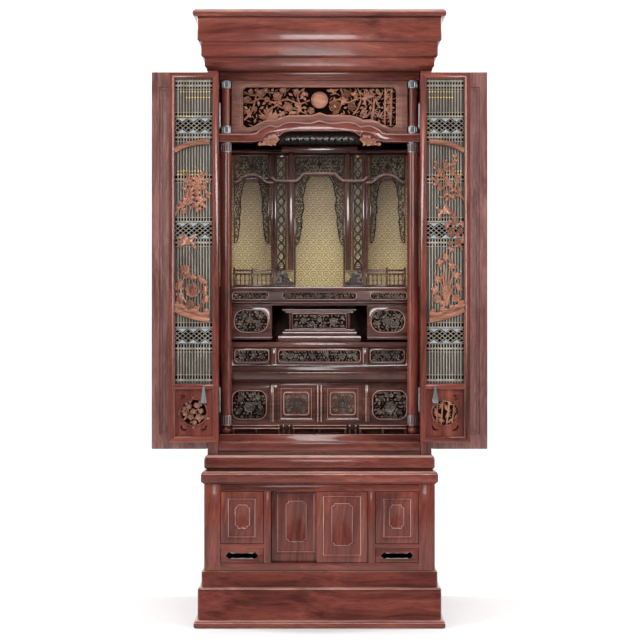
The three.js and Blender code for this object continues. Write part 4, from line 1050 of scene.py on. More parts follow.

# %% [markdown]
# A leaf of the inner doors is a mitred rosewood frame round a lattice: twelve thin slats, crossed by bars in
# pairs, with three bands of slanted bars. The gaps between the paired bars show black, for strips of painted shadow
# lie behind them, and small chips of pale shell fill the edges of the slanted bands. The four leaves are alike but
# for their carving, so the parts are made for the far left leaf and then copied. The near leaf faces the wall while
# the doors are open, so its parts are the same ones turned half round.

# %% The lattice of a door leaf
LEAF_X0, LEAF_X1 = -421.85, -282.3
LEAF_FRONT, LEAF_BACK = -290.0, -274.0
LEAF_FOOT, LEAF_HEAD = 518.0, 1554.0
LEAF_MIDDLE = (LEAF_X0 + LEAF_X1) / 2
OPEN_X0, OPEN_X1 = LEAF_X0 + 18, LEAF_X1 - 18
OPEN_HEAD = 1538.0
MID_RAIL = (667.0, 683.0)
PANEL_FOOT = 538.0
SLATS = 12
BARS = ((1530.2, 5), (1517.4, 5.5), (1507.3, 2.2), (1442.2, 2.2), (1431.3, 5), (1383, 2.2), (1372.6, 5.2),
        (1361.4, 2.2), (1266.9, 2.4), (1254.9, 5), (1245.7, 2.2), (1147.8, 2.2), (1136.1, 5), (1089, 2.2),
        (1077.9, 5.2), (1067.3, 2.2), (853.7, 2.2), (839.8, 5), (795, 2.4), (781.3, 5.2), (771.8, 2.2),
        (707.5, 2.2), (692.7, 6))  # height of the middle and width, in mm
DARK_ROWS = ((1505, 1532), (1429, 1443), (1361, 1384), (1245, 1267), (1135, 1148), (1067, 1090), (839, 854),
             (771, 796), (690, 708))
BANDS = ((1385.0, 1425.5), (1090.5, 1132.0), (796.5, 836.5))
GILT_ROWS = ((1500, 0.15, 1.0), (1484, 0.3, 1.0), (1278, 0.0, 0.75), (1269, 0.0, 0.75), (1431.3, 0, 0.5))


def clipped(x0, z0, x1, z1, left, right):
    """The part of a slanted line between two upright ones, or None."""
    low, high = sorted(((left - x0) / (x1 - x0), (right - x0) / (x1 - x0)))
    low, high = max(0, low), min(1, high)
    if high - low < 0.05:
        return None
    return [(x0 + (x1 - x0) * t, z0 + (z1 - z0) * t) for t in (low, high)]


def lattice(name):
    work = Carving(name)
    pitch = (OPEN_X1 - OPEN_X0) / (SLATS + 1)
    ends = [OPEN_HEAD + 2] + [z for low, high in BANDS for z in (high, low)] + [MID_RAIL[1] - 2]
    for top, foot in zip(ends[::2], ends[1::2]):
        slat = box_piece("slat", -1.5, 1.5, -283, -279.6, foot, top, 0.7, 2)
        for i in range(1, SLATS + 1):
            mesh = slat.data.copy()
            mesh.transform(Matrix.Translation(((OPEN_X0 + pitch * i) * MM, 0, 0)))
            work.add(mesh)
        bpy.data.objects.remove(slat)
    for z, width in BARS:
        bar = box_piece("bar", OPEN_X0 - 2, OPEN_X1 + 2, -282.6, -279.8, z - width / 2, z + width / 2, 0.7,
                        2)
        work.take(bar)
    profile = ((-0.9, -281), (-0.9, -284.2), (0, -284.8), (0.9, -284.2), (0.9, -281))
    for low, high in BANDS:
        run = (high - low) * 1.25
        for k in range(-4, 10):
            start = OPEN_X0 + 4 + k * 15.5
            for slant in (1, -1):
                ends = (start, low, start + run, high) if slant > 0 else (start + run, low, start, high)
                line = clipped(*ends, OPEN_X0, OPEN_X1)
                if line:
                    work.take(along("slanted", line, profile))
    return work


def shell_chips(name):
    work = Carving(name)
    for low, high in BANDS:
        for x in (OPEN_X0 + 20, (OPEN_X0 + OPEN_X1) / 2 - 1, OPEN_X1 - 20):
            for z, drop in ((high, -8), (low, 8)):
                outline = [(x - 14, z), (x + 14, z), (x + 5, z + drop * 0.6), (x, z + drop * 1.25),
                           (x - 5, z + drop * 0.6)]
                work.take(layered("chip", [(outline, -281.5), (outline, -285.0)]))
    return work


def gilt_dots(name):
    work = Carving(name, 8)
    pitch = (OPEN_X1 - OPEN_X0) / (SLATS + 1)
    for z, low, high in GILT_ROWS:
        for i in range(1, SLATS + 1):
            if low <= i / SLATS <= high:
                work.stamp("heart", OPEN_X0 + pitch * i, z, 2.1, y=-283.2, wide=1.15)
    return work


bpy.ops.object.select_all(action="DESELECT")
keep_form("heart", [button_of(1.0, 0.4)])
parts_of_leaf = {"lattice": lattice("lattice"), "shell": shell_chips("shell"), "gilt": gilt_dots("gilt")}
print("lattice:", SLATS, "slats,", len(BARS), "bars")

# %% [markdown]
# In front of the slats stand two arched mouldings and, between them, a carved picture: on the left a leafy
# branch, a flying crane, an orchid and a peony on a mound, and on the right a plum branch, a bird over flowers
# and an orchid with long blades. The places are given from the middle of the leaf, so a picture fits any leaf.

# %% The arched mouldings and the mound
ARCH = ((-7, -283.6), (-7, -287.4), (-6, -289), (-3.5, -290), (3.5, -290), (6, -289), (7, -287.4),
        (7, -283.6))
UPPER_ARCH = ((-53.3, 1335.1), (-32.3, 1345.8), (-10.0, 1353.3), (15.2, 1358.1), (44.0, 1359.7))
LOWER_ARCH = ((-53.3, 890.6), (-32.3, 880.6), (-10.0, 872.5), (15.2, 865.8), (44.0, 860.2))


def arches(name):
    """Both arches of the left leaf and the bright bead above the lower one."""
    upper = along(name, [(LEAF_MIDDLE + u, z) for u, z in smooth_line(UPPER_ARCH, 5)], ARCH)
    lower_line = [(LEAF_MIDDLE + u, z) for u, z in smooth_line(LOWER_ARCH, 5)]
    lower = along("lower", lower_line, ARCH)
    bead = along("bead", [(x, z + 8.6) for x, z in lower_line],
                 ((-1.4, -284), (-1.4, -289), (-0.5, -290), (0.8, -290), (1.6, -289), (1.6, -284)))
    mound = along("mound", [(x, z + 15 - 4 * math.sin(i * 0.9)) for i, (x, z) in enumerate(lower_line)],
                  ((-7, -284), (-7, -287), (-2, -289), (3, -288.5), (6, -286.4), (6.5, -284)))
    return joined([upper, lower, bead, mound], name)


print("arches ready")

# %% [markdown]
# A picture is planned as a carver would: first the branches, thick where they leave the frame, then leaves in
# clusters, blossoms on top, and rocks at the foot. It is pressed flat, for it is one thin fretted board.

# %% Pictures on the lattice
FRONT_OF_SLATS = -284.6


def at(points):
    return [(LEAF_MIDDLE + u, z) for u, z in points]


def picture_left(name):
    """A leafy branch, a crane, an orchid and peonies."""
    work = Carving(name, 3, flat=0.7)
    y = FRONT_OF_SLATS
    leafy = (
        (((-53.0, 1152.9), (-35.1, 1182.5), (-12.7, 1207.7), (12.4, 1227.2), (36.2, 1244.0)), 3.4, 1.6),
        (((-18.3, 1202.1), (-12.7, 1230.0), (4.0, 1249.6), (26.4, 1265.0)), 2.4, 1.2),
        (((-10.0, 1210.5), (-21.1, 1235.6), (-19.7, 1260.8)), 2.0, 1.0),
        (((-4.4, 1216.0), (15.2, 1207.7), (26.4, 1188.1)), 2.0, 1.0),
        (((-26.7, 1193.7), (-10.0, 1179.7), (9.6, 1174.1)), 1.8, 1.0),
        (((12.4, 1227.2), (32.0, 1225.8), (39.0, 1213.2)), 1.6, 0.9),
    )
    for points, foot, tip in leafy:
        work.leafy(at(points), foot, tip, "leaf", 17, 6.5, y - 0.4, 52, skip=2)
    for u, z, size, turn in (
            (4.0, 1255.2, 17, 30), (20.8, 1252.4, 16, -60), (-1.6, 1235.6, 17, 100),
            (-12.7, 1196.5, 16, 150),
            (6.8, 1188.1, 15, 190), (-29.5, 1165.7, 13, 80), (18.0, 1199.3, 15, 60),
            (-15.5, 1246.8, 16, -40)):
        work.cluster("leaf", LEAF_MIDDLE + u, z, size, 4, 200, turn - 100, y - 1.2)
    for u, z, size in ((-4.4, 1244.0, 6.5), (18.0, 1232.8, 6), (-18.3, 1221.6, 6.5), (6.8, 1202.1, 5.5)):
        work.stamp("plum", LEAF_MIDDLE + u, z, size, 20, y - 2.2)
    work.stamp("crane", LEAF_MIDDLE - 12.7, 1079.1, 54, -24, y - 1.5)
    orchid = (-25.3, 1000.8)
    work.cluster("leaf", LEAF_MIDDLE + orchid[0], orchid[1], 21, 7, 250, -125, y - 0.5, 1, -10)
    work.cluster("blade", LEAF_MIDDLE + orchid[0], orchid[1] - 4, 27, 5, 130, 115, y - 0.5)
    work.stamp("plum", LEAF_MIDDLE + orchid[0], orchid[1] + 3, 8, 0, y - 2)
    work.leafy(at(((-21.1, 908.5), (-35.1, 944.9), (-25.3, 984.0))), 2.6, 1.6, "leaf", 15, 14, y - 0.3)
    work.stamp("peony", LEAF_MIDDLE - 3.0, 944.9, 22, 10, y - 0.6)
    for u, z, size, turn in ((-35.1, 956.1, 21, -70), (-32.3, 928.1, 20, -120), (18.0, 970.0, 21, 50),
                             (26.4, 944.9, 17, 95), (26.4, 919.7, 19, 120), (-1.6, 975.6, 17, 5)):
        work.cluster("broad_leaf", LEAF_MIDDLE + u, z, size, 3, 110, turn - 55, y - 0.3)
    for u, z, size in ((-8.6, 905.7, 13), (18.0, 900.1, 8), (-35.1, 908.5, 7.5)):
        work.stamp("chrysanthemum", LEAF_MIDDLE + u, z, size, 0, y - 1.6)
    for u, z, size in ((-46.3, 907.1, 16), (6.8, 890.4, 18), (34.8, 886.2, 15), (-21.1, 897.3, 14)):
        work.stamp("rock", LEAF_MIDDLE + u, z, size, 30 * u, y + 1.5)
    return work


def picture_right(name):
    """A plum branch, a bird over a flowering bush, and an orchid with long blades."""
    work = Carving(name, 5, flat=0.7)
    y = FRONT_OF_SLATS
    middle = -LEAF_MIDDLE

    def put(points):
        return [(middle + u, z) for u, z in points]

    branches = (
        (((53.3, 1196.5), (35.1, 1218.8), (12.7, 1235.6), (-4.0, 1263.6), (1.6, 1299.9)), 3.4, 1.5),
        (((26.7, 1224.4), (32.3, 1258.0), (18.3, 1285.9), (26.7, 1313.9)), 2.4, 1.2),
        (((10.0, 1238.4), (-12.4, 1235.6), (-30.6, 1252.4)), 2.2, 1.1),
        (((-1.2, 1258.0), (-20.8, 1274.7), (-26.4, 1297.1)), 2.0, 1.0),
        (((37.9, 1216.0), (18.3, 1204.9), (-4.0, 1204.9)), 2.0, 1.0),
    )
    for points, foot, tip in branches:
        work.leafy(put(points), foot, tip, "leaf", 15, 9, y - 0.4, 60, skip=2)
    for u, z, size in ((1.6, 1294.3, 9), (18.3, 1274.7, 8.5), (-12.4, 1277.5, 8), (32.3, 1249.6, 8.5),
                       (-23.6, 1252.4, 8.5),
                       (7.2, 1246.8, 9.5), (40.7, 1227.2, 8), (1.6, 1216.0, 8.5), (-15.2, 1230.0, 8),
                       (23.9, 1299.9, 8),
                       (21.1, 1207.7, 8)):
        work.stamp("plum", middle + u, z, size, 24 * size, y - 2)
    work.stamp("crane", middle - 6.8, 1162.9, 44, 12, y - 1.5, wide=-1)
    bush = put(((46.3, 1056.7), (35.1, 1090.2), (21.1, 1118.2), (23.9, 1148.9)))
    work.leafy(bush, 3, 1.4, "leaf", 15, 8, y - 0.4, 58)
    for u, z, size in ((26.7, 1135.0, 11), (40.7, 1109.8, 10), (15.5, 1104.2, 12), (35.1, 1079.1, 11),
                       (12.7, 1076.3, 8)):
        work.stamp("chrysanthemum", middle + u, z, size, 0, y - 1.2)
    for u, z, size, turn in ((43.5, 1126.6, 16, 60), (10.0, 1123.8, 15, -60), (46.3, 1090.2, 15, 100),
                             (18.3, 1062.3, 15, 200)):
        work.cluster("leaf", middle + u, z, size, 3, 120, turn - 60, y - 0.6)
    root = (middle + 4.4, 900.1)
    for u, z, foot in ((-26.4, 1039.9, 3), (-6.8, 1056.7, 3), (18.3, 1048.3, 3), (37.9, 1023.1, 3),
                       (-33.4, 995.2, 3), (43.5, 972.8, 3), (-32.0, 944.9, 2.6), (26.7, 939.3, 2.6)):
        tip = (middle + u, z)
        bend = ((root[0] + tip[0]) / 2 + (tip[0] - root[0]) * -0.12, (root[1] + tip[1]) / 2 + 12)
        work.twig([root, bend, tip], foot, 0.5, y - 0.6, 2.0)
    for u, z, size in ((-15.2, 1023.1, 8), (18.3, 1012.0, 8.5), (1.6, 1037.1, 7.5), (32.3, 986.8, 8),
                       (-20.8, 975.6, 8)):
        work.cluster("leaf", middle + u, z, size * 1.7, 6, 360, 10, y - 1.6)
        work.stamp("heart", middle + u, z, 2.6, y=y - 3)
    for u, z, size in ((4.4, 942.1, 15), (29.5, 922.5, 12), (-23.6, 919.7, 12)):
        work.stamp("peony", middle + u, z, size, 0, y - 0.8)
    for u, z, size, turn in ((-23.6, 942.1, 18, -60), (32.3, 950.5, 18, 60), (-4.0, 914.1, 17, 180),
                             (43.5, 908.5, 15, 110)):
        work.cluster("broad_leaf", middle + u, z, size, 3, 110, turn - 55, y - 0.3)
    for u, z, size in ((43.5, 908.5, 16), (-6.8, 890.4, 18), (-34.8, 886.2, 15), (18.3, 897.3, 14)):
        work.stamp("rock", middle + u, z, size, 30 * u, y + 1.5)
    return work


print("pictures ready")

# %% [markdown]
# Below the middle rail each leaf has a plain board with a round opening in a raised ring, and three small
# comma-shaped cuts. Behind the ring is a carving in the round: plum on the left, bamboo on the right. The cuts
# are made with the Boolean modifier, as a fretsaw would make them.

# %% The lower panel and the frame of a leaf
ROUNDEL = (LEAF_MIDDLE, 602.5)
ROUNDEL_RADIUS = 36.0
FRAME_PROFILE = ((0.8, -274), (0, -275), (0, -286.4), (0.5, -288.4), (1.5, -289.6), (3.4, -290),
                 (13.4, -290),
                 (14.3, -289.5), (14.8, -288.6), (15.6, -288.4), (16.6, -288.2), (17.6, -287.2),
                 (18, -285.6),
                 (18, -274.6), (17.4, -274))


def boolean_cut(piece, cutter):
    recalculate(cutter)
    apply_modifier(piece, "BOOLEAN", operation="DIFFERENCE", object=cutter, solver="EXACT")
    bpy.data.objects.remove(cutter)
    return piece


def circle_outline(x, z, radius, count=40):
    return [(x + radius * math.cos(2 * math.pi * i / count), z + radius * math.sin(2 * math.pi * i / count))
            for i in range(count)]


def lower_panel(name):
    board = box_piece(name, OPEN_X0 - 3, OPEN_X1 + 3, -282, -277, PANEL_FOOT - 3, MID_RAIL[0] + 3, 0)
    x, z = ROUNDEL
    circle = circle_outline(x, z, ROUNDEL_RADIUS)
    boolean_cut(board, layered("hole", [(circle, -290), (circle, -270)]))
    commas = (((-38, 47), (-24, 49), (-22, 45), (-33, 40), (-24, 36), (-27, 33), (-38, 38), (-29, 44)),
              ((-38, -38), (-34, -36), (-30, -46), (-20, -48), (-23, -52), (-34, -50)),
              ((38, -38), (34, -36), (30, -46), (20, -48), (23, -52), (34, -50)))
    for points in commas:
        outline = [(x + u, z + w) for u, w in points]
        boolean_cut(board, layered("comma", [(outline, -290), (outline, -270)]))
    profile = [(0.2, -279), (0.2, -284), (1.2, -285.4), (3, -286), (4.4, -285), (5, -283.4), (5, -281)]
    ring_points = []
    for i in range(48):
        a = 2 * math.pi * i / 48
        ring_points += [((x + (ROUNDEL_RADIUS + r - 1) * math.cos(a)) * MM, y * MM,
                         (z + (ROUNDEL_RADIUS + r - 1) * math.sin(a)) * MM) for r, y in profile]
    ring = recalculate(mesh_from(ring_points, skin(48, len(profile), closed=True), "ring"))
    return smooth(joined([board, ring], name))


def leaf_frame(name):
    ring = mitred(name, LEAF_X0, LEAF_X1, LEAF_FOOT, LEAF_HEAD, FRAME_PROFILE)
    low, high = MID_RAIL
    middle = (low + high) / 2
    outline = [(OPEN_X0 - 1, low), (OPEN_X1 + 1, low), (OPEN_X1 + 9, middle), (OPEN_X1 + 1, high),
               (OPEN_X0 - 1, high),
               (OPEN_X0 - 9, middle)]
    rail = layered("rail", [(outline, -275), (outline, -289.7)])
    apply_modifier(rail, "BEVEL", width=0.0018, segments=3, limit_method="ANGLE",
                   angle_limit=math.radians(40))
    for material in ring.data.materials:
        rail.data.materials.append(material)
    return smooth(joined([ring, rail], name))


def roundel_left(name):
    work = Carving(name, 11, flat=0.8)
    x, z = ROUNDEL
    y = -280.5
    for points, foot in ((((-30, -22), (-12, -8), (6, 4), (24, 26)), 3.0),
                         (((-12, -8), (-16, 12), (-6, 33)), 2.2),
                         (((4, 3), (14, -12), (32, -16)), 2.2), (((-4, -4), (2, -20), (0, -35)), 2.0),
                         (((-14, 6), (-28, 8), (-35, 2)), 1.8)):
        work.leafy([(x + u, z + w) for u, w in points], foot, 1.4, "leaf", 13, 10, y, 60)
    for u, w, size in ((-14, 16, 8.5), (8, 20, 8.5), (20, 4, 8), (12, -14, 8.5), (-8, -14, 8.5),
                       (-24, -4, 8),
                       (-2, 2, 9), (24, -14, 6.5), (-20, 24, 6), (2, -28, 7.5), (18, 22, 6.5),
                       (-26, 12, 6)):
        work.stamp("plum", x + u, z + w, size, 30 * size, y - 2)
    return work


def roundel_right(name):
    work = Carving(name, 12, flat=0.8)
    x, z = -ROUNDEL[0], ROUNDEL[1]
    y = -280.5
    for u0, w0, u1, w1 in ((-12, -35, -6, 36), (4, -36, 12, 34), (-24, -28, -22, 28), (20, -30, 26, 26)):
        work.culm(x + u0, z + w0, x + u1, z + w1, 2.2, y, 3)
    for u, w, turn in ((-8, 18, -60), (10, 24, 40), (22, 6, 90), (-22, 4, -120), (4, -4, 130),
                       (-10, -18, 200),
                       (14, -20, 150), (-2, 30, 0), (-26, 20, -70), (28, -12, 110), (0, 10, 60),
                       (-16, -4, -150)):
        work.cluster("blade", x + u, z + w, 17, 5, 140, turn - 70, y - 1)
    return work


print("lower panel ready")

# %% [markdown]
# Now the leaves are put together. The far left leaf is made first. Its parts are copied to the far right leaf
# by mirroring, and to the near leaves by turning them half round and moving them back by one leaf.

# %% The eight parts of each inner leaf
NEAR_SHIFT = 17.0  # one leaf and the gap between two folded ones
HALF_TURN = (Matrix.Translation((0, (LEAF_FRONT + LEAF_BACK + NEAR_SHIFT) * MM, 0))
             @ Matrix.Rotation(math.pi, 4,
                               "Z"))  # from a far leaf of one side to the near leaf of the other


def leaf_transform(near, right):
    move = Matrix.Translation((2 * LEAF_MIDDLE * MM, 0, 0)) @ HALF_TURN if near else Matrix.Identity(4)
    return (Matrix.Diagonal((-1, 1, 1, 1)) if right else Matrix.Identity(4)) @ move


def copy_to_leaf(piece, name, near, right, body):
    twin = linked(name, piece.data.copy())
    twin.data.transform(leaf_transform(near, right))
    if right:
        recalculate(twin)
    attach(twin, body)
    return twin


def press(piece, low, high):
    """Squeeze a carving in depth, so that it lies between low and high."""
    depths = [vertex.co.y / MM for vertex in piece.data.vertices]
    first, last = min(depths), max(depths)
    scale = min(1.0, (high - low) / (last - first))
    start = max(low, min(first, high - (last - first) * scale))
    for vertex in piece.data.vertices:
        vertex.co.y = (start + (vertex.co.y / MM - first) * scale) * MM


def backing(name):
    """A thin board behind the slats, black strips of painted shadow behind the rows of gaps, and a black disc of
    painted shadow behind the roundel.
    """
    board = box_piece(name, OPEN_X0 - 2, OPEN_X1 + 2, -278.6, -277.4, MID_RAIL[1] - 2, OPEN_HEAD + 2, 0)
    board.data.materials.append(woods["backing", "z"])
    strips = [board]
    for low, high in DARK_ROWS + BANDS:
        strip = box_piece("strip", OPEN_X0, OPEN_X1, -279.4, -278.4, low, high, 0)
        strip.data.materials.append(shadow)
        strips.append(strip)
    x, z = ROUNDEL
    disc_line = circle_outline(x, z, ROUNDEL_RADIUS + 2)
    dark = layered("dark", [(disc_line, -276.9), (disc_line, -275.6)])
    dark.data.materials.append(shadow)
    return joined(strips + [dark], name)


leaf_body = "left_inner_far"
leaf_parts = {}
frame_piece = leaf_frame("inner_leaf_frame")
leaf_parts["frame"] = (frame_piece, "rosewood")
leaf_parts["backing"] = (backing("inner_leaf_backing"), "lattice_wood")
leaf_parts["lattice"] = (parts_of_leaf["lattice"].done(leaf_body, "lattice_wood",
                                                       woods["lattice_wood", "z"]), "lattice_wood")
leaf_parts["shell"] = (parts_of_leaf["shell"].done(leaf_body, "lattice_wood", shell), "lattice_wood")
leaf_parts["gilt"] = (parts_of_leaf["gilt"].done(leaf_body, "gold_brocade", gilt), "gold_brocade")
arch_piece = arches("arches")
arch_piece.data.materials.append(woods["carved_wood", "x"])
leaf_parts["arches"] = (smooth(arch_piece), "rosewood")
panel_piece = lower_panel("lower_panel")
panel_piece.data.materials.clear()
panel_piece.data.materials.append(woods["rosewood", "z"])
leaf_parts["lower_panel"] = (panel_piece, "inner_wood")
for kind, (piece, material_slot) in leaf_parts.items():
    for near in (False, True):
        for right in (False, True):
            side = "right" if right else "left"
            place_name = ("near_" if near else "far_") + side
            body = f"{side}_inner_{'near' if near else 'far'}"
            twin = copy_to_leaf(piece, f"inner_leaf_{place_name}_{kind}", near, right, body)
            if kind == "frame":
                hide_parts(f"inner_leaf_{place_name}")
    bpy.data.objects.remove(piece)

for side in ("left", "right"):
    for near in (False, True):
        # The picture of a near leaf is the other side's picture, turned half round.
        plain = (side == "left") != near
        picture = (picture_left if plain else picture_right)("picture")
        disc = (roundel_left if plain else roundel_right)("roundel")
        for work, kind in ((picture, "picture"), (disc, "roundel")):
            place_name = ("near_" if near else "far_") + side
            body = f"{side}_inner_{'near' if near else 'far'}"
            piece = work.done(body, "carved_wood", woods["carved_wood", "z"])
            press(piece, *((-289.9, -283.2) if kind == "picture" else (-289.4, -277.2)))
            if near:
                piece.data.transform(HALF_TURN)
            piece.name = f"inner_leaf_{place_name}_{kind}"
print("inner leaves:", len(leaf_parts) * 4 + 8, "pieces")

# %% [markdown]
# The carvings of the shrine fill their fields from edge to edge: leaves, curls and blossoms lie so close that
# only small black gaps are left between them. One helper sets forms on a staggered grid wherever a test says
# that a point lies inside the field, and turns each one at random.

# %% Foliage that fills a field


def foliage(work, inside, x0, x1, z0, z1, pitch, y, kinds=("leaf", "leaf", "scroll", "plum"), grow=1.5,
            rise=2.0):
    rows = max(1, round((z1 - z0) / (pitch * 0.86)))
    columns = max(1, round((x1 - x0) / pitch))
    for row in range(rows):
        z = z0 + (z1 - z0) * (row + 0.5) / rows
        for column in range(columns + row % 2):
            x = x0 + (x1 - x0) * (column + (0.5 if row % 2 == 0 else 0.0)) / columns
            x += work.dice.uniform(-0.2, 0.2) * pitch
            kind = work.dice.choice(kinds)
            turn, lift = work.dice.uniform(0, 360), work.dice.uniform(0, rise)
            if not inside(x, z):
                continue
            size = pitch * grow * work.dice.uniform(0.85, 1.15) * (0.42 if kind in ROUND_FORMS else 1.0)
            away = math.radians(turn)
            shift = 0 if kind in ROUND_FORMS else size * 0.45
            work.stamp(kind, x - shift * math.sin(away), z - shift * math.cos(away), size, turn, y - lift,
                       tip=work.dice.uniform(-14, 6))


ROUND_FORMS = ("plum", "peony", "chrysanthemum", "rock", "heart")


def within(outline):
    """A test for points inside a closed outline of [x, z] points."""
    def test(x, z):
        hit = False
        for (x0, z0), (x1, z1) in zip(outline, outline[1:] + outline[:1]):
            if (z0 > z) != (z1 > z) and x < x0 + (x1 - x0) * (z - z0) / (z1 - z0):
                hit = not hit
        return hit
    return test


def grown(outline, by):
    """The outline moved outwards by that much, seen from its middle; negative moves it inwards."""
    xs, zs = [x for x, z in outline], [z for x, z in outline]
    cx, cz = (min(xs) + max(xs)) / 2, (min(zs) + max(zs)) / 2
    half, tall = (max(xs) - min(xs)) / 2, (max(zs) - min(zs)) / 2
    return [(cx + (x - cx) * (1 + by / half), cz + (z - cz) * (1 + by / tall)) for x, z in outline]


def rounded_oblong(x0, x1, z0, z1, radius, steps=5):
    """A rectangle's outline with round corners."""
    outline = []
    for cx, cz, start in ((x1 - radius, z1 - radius, 0), (x0 + radius, z1 - radius, 90),
                          (x0 + radius, z0 + radius, 180), (x1 - radius, z0 + radius, 270)):
        for k in range(steps + 1):
            a = math.radians(start + 90 * k / steps)
            outline.append((cx + radius * math.cos(a), cz + radius * math.sin(a)))
    return outline


def sunk_board(name, x0, x1, y0, y1, z0, z1, fields, edge=1.2):
    """A board whose front, at y0, has fields cut into it: each is an outline, a depth and the width of its slope."""
    board = box_piece(name, x0, x1, y0, y1, z0, z1, edge, 2)
    for outline, depth, slope in fields:
        layers = [(grown(outline, slope + 0.6), y0 - 1), (grown(outline, slope), y0), (outline, y0 + slope),
                  (outline, y0 + depth)]
        boolean_cut(board, layered("cutter", layers))
    return smooth(board, 28)


def ring_bead(name, outline, width, y, rise):
    """A half-round bead that runs round an outline."""
    profile = [(-width, 0.4), (-width, -rise * 0.4), (-width * 0.5, -rise * 0.9), (0, -rise),
               (width * 0.5, -rise * 0.9),
               (width, -rise * 0.4), (width, 0.4)]
    points = []
    size = len(outline)
    for i, (x, z) in enumerate(outline):
        (xa, za), (xb, zb) = outline[i - 1], outline[(i + 1) % size]
        dx, dz = xb - xa, zb - za
        length = math.hypot(dx, dz) or 1
        points += [((x - dz / length * n) * MM, (y + h) * MM, (z + dx / length * n) * MM) for n,
                   h in profile]
    return smooth(recalculate(mesh_from(points, skin(size, len(profile), closed=True), name)), 40)


def run_of(name, x0, x1, profile, radius):
    """A moulding that runs sideways: a closed profile of [y, z] points, with its corners eased by radius."""
    section = eased(profile, radius)
    count = len(section)
    points = [(x * MM, y * MM, z * MM) for x in (x0, x1) for y, z in section]
    faces = [tuple(range(count)), tuple(count + k for k in range(count))]
    faces += [(k, (k + 1) % count, count + (k + 1) % count, count + k) for k in range(count)]
    return smooth(recalculate(mesh_from(points, faces, name)), 40)


def eased(points, radius, steps=3):
    """A closed outline with its corners rounded."""
    outline = []
    for i, (x, z) in enumerate(points):
        (xa, za), (xb, zb) = points[i - 1], points[(i + 1) % len(points)]
        la, lb = math.hypot(xa - x, za - z), math.hypot(xb - x, zb - z)
        reach = min(radius, la * 0.45, lb * 0.45)
        start = (x + (xa - x) / la * reach, z + (za - z) / la * reach)
        end = (x + (xb - x) / lb * reach, z + (zb - z) / lb * reach)
        for k in range(steps + 1):
            t = k / steps
            outline.append(tuple((1 - t) ** 2 * s + 2 * t * (1 - t) * c + t * t * e
                                 for s, c, e in zip(start, (x, z), end)))
    return outline


def wooden(piece, slot, axis="x", body="cabinet"):
    """The piece gets its wood and moves with its body."""
    return keep(piece, body, slot, woods[slot, axis])


def both_sides(piece, name):
    """The left piece and its mirror image on the right."""
    piece.name = name + "_left"
    twin = mirror_copy(piece, name + "_right", "cabinet")
    return twin


print("foliage, sunk boards and mouldings ready")

# %% [markdown]
# The transom over the shrine is an openwork panel: plum branches on the left, peony, a bird and bamboo on the
# right, round a plain disc, with black behind. A carved bead runs round its opening. The black is the deep space
# under the crown, which the light doesn't reach, and a dark board at its back keeps it so.

# %% Transom
LINTEL = 1543.0
TRANSOM_OPENING = [(-209, -18), (-219, -28), (-219, -126), (-208, -135), (-200, -135), (-183, -129),
                   (-165, -118),
                   (-145, -112), (-122, -113), (-110, -106), (-88, -100), (-20, -99), (0, -92)]
TRANSOM_OPENING = [(x, LINTEL + z) for x, z in TRANSOM_OPENING]
TRANSOM_OPENING += [(-x, z) for x, z in reversed(TRANSOM_OPENING[:-1])]
TRANSOM_BACK, TRANSOM_FRONT = -182.5, -193.5

outer_bead = ring_bead("transom_bead", grown(TRANSOM_OPENING, 6), 1.3, -196.2, 0.7)
inner_bead = ring_bead("transom_inner_bead", grown(TRANSOM_OPENING, 0.4), 1.5, -195.8, 1.1)
keep(joined([outer_bead, inner_bead], "transom_beads"), "cabinet", "rosewood", woods["carved_wood", "x"])


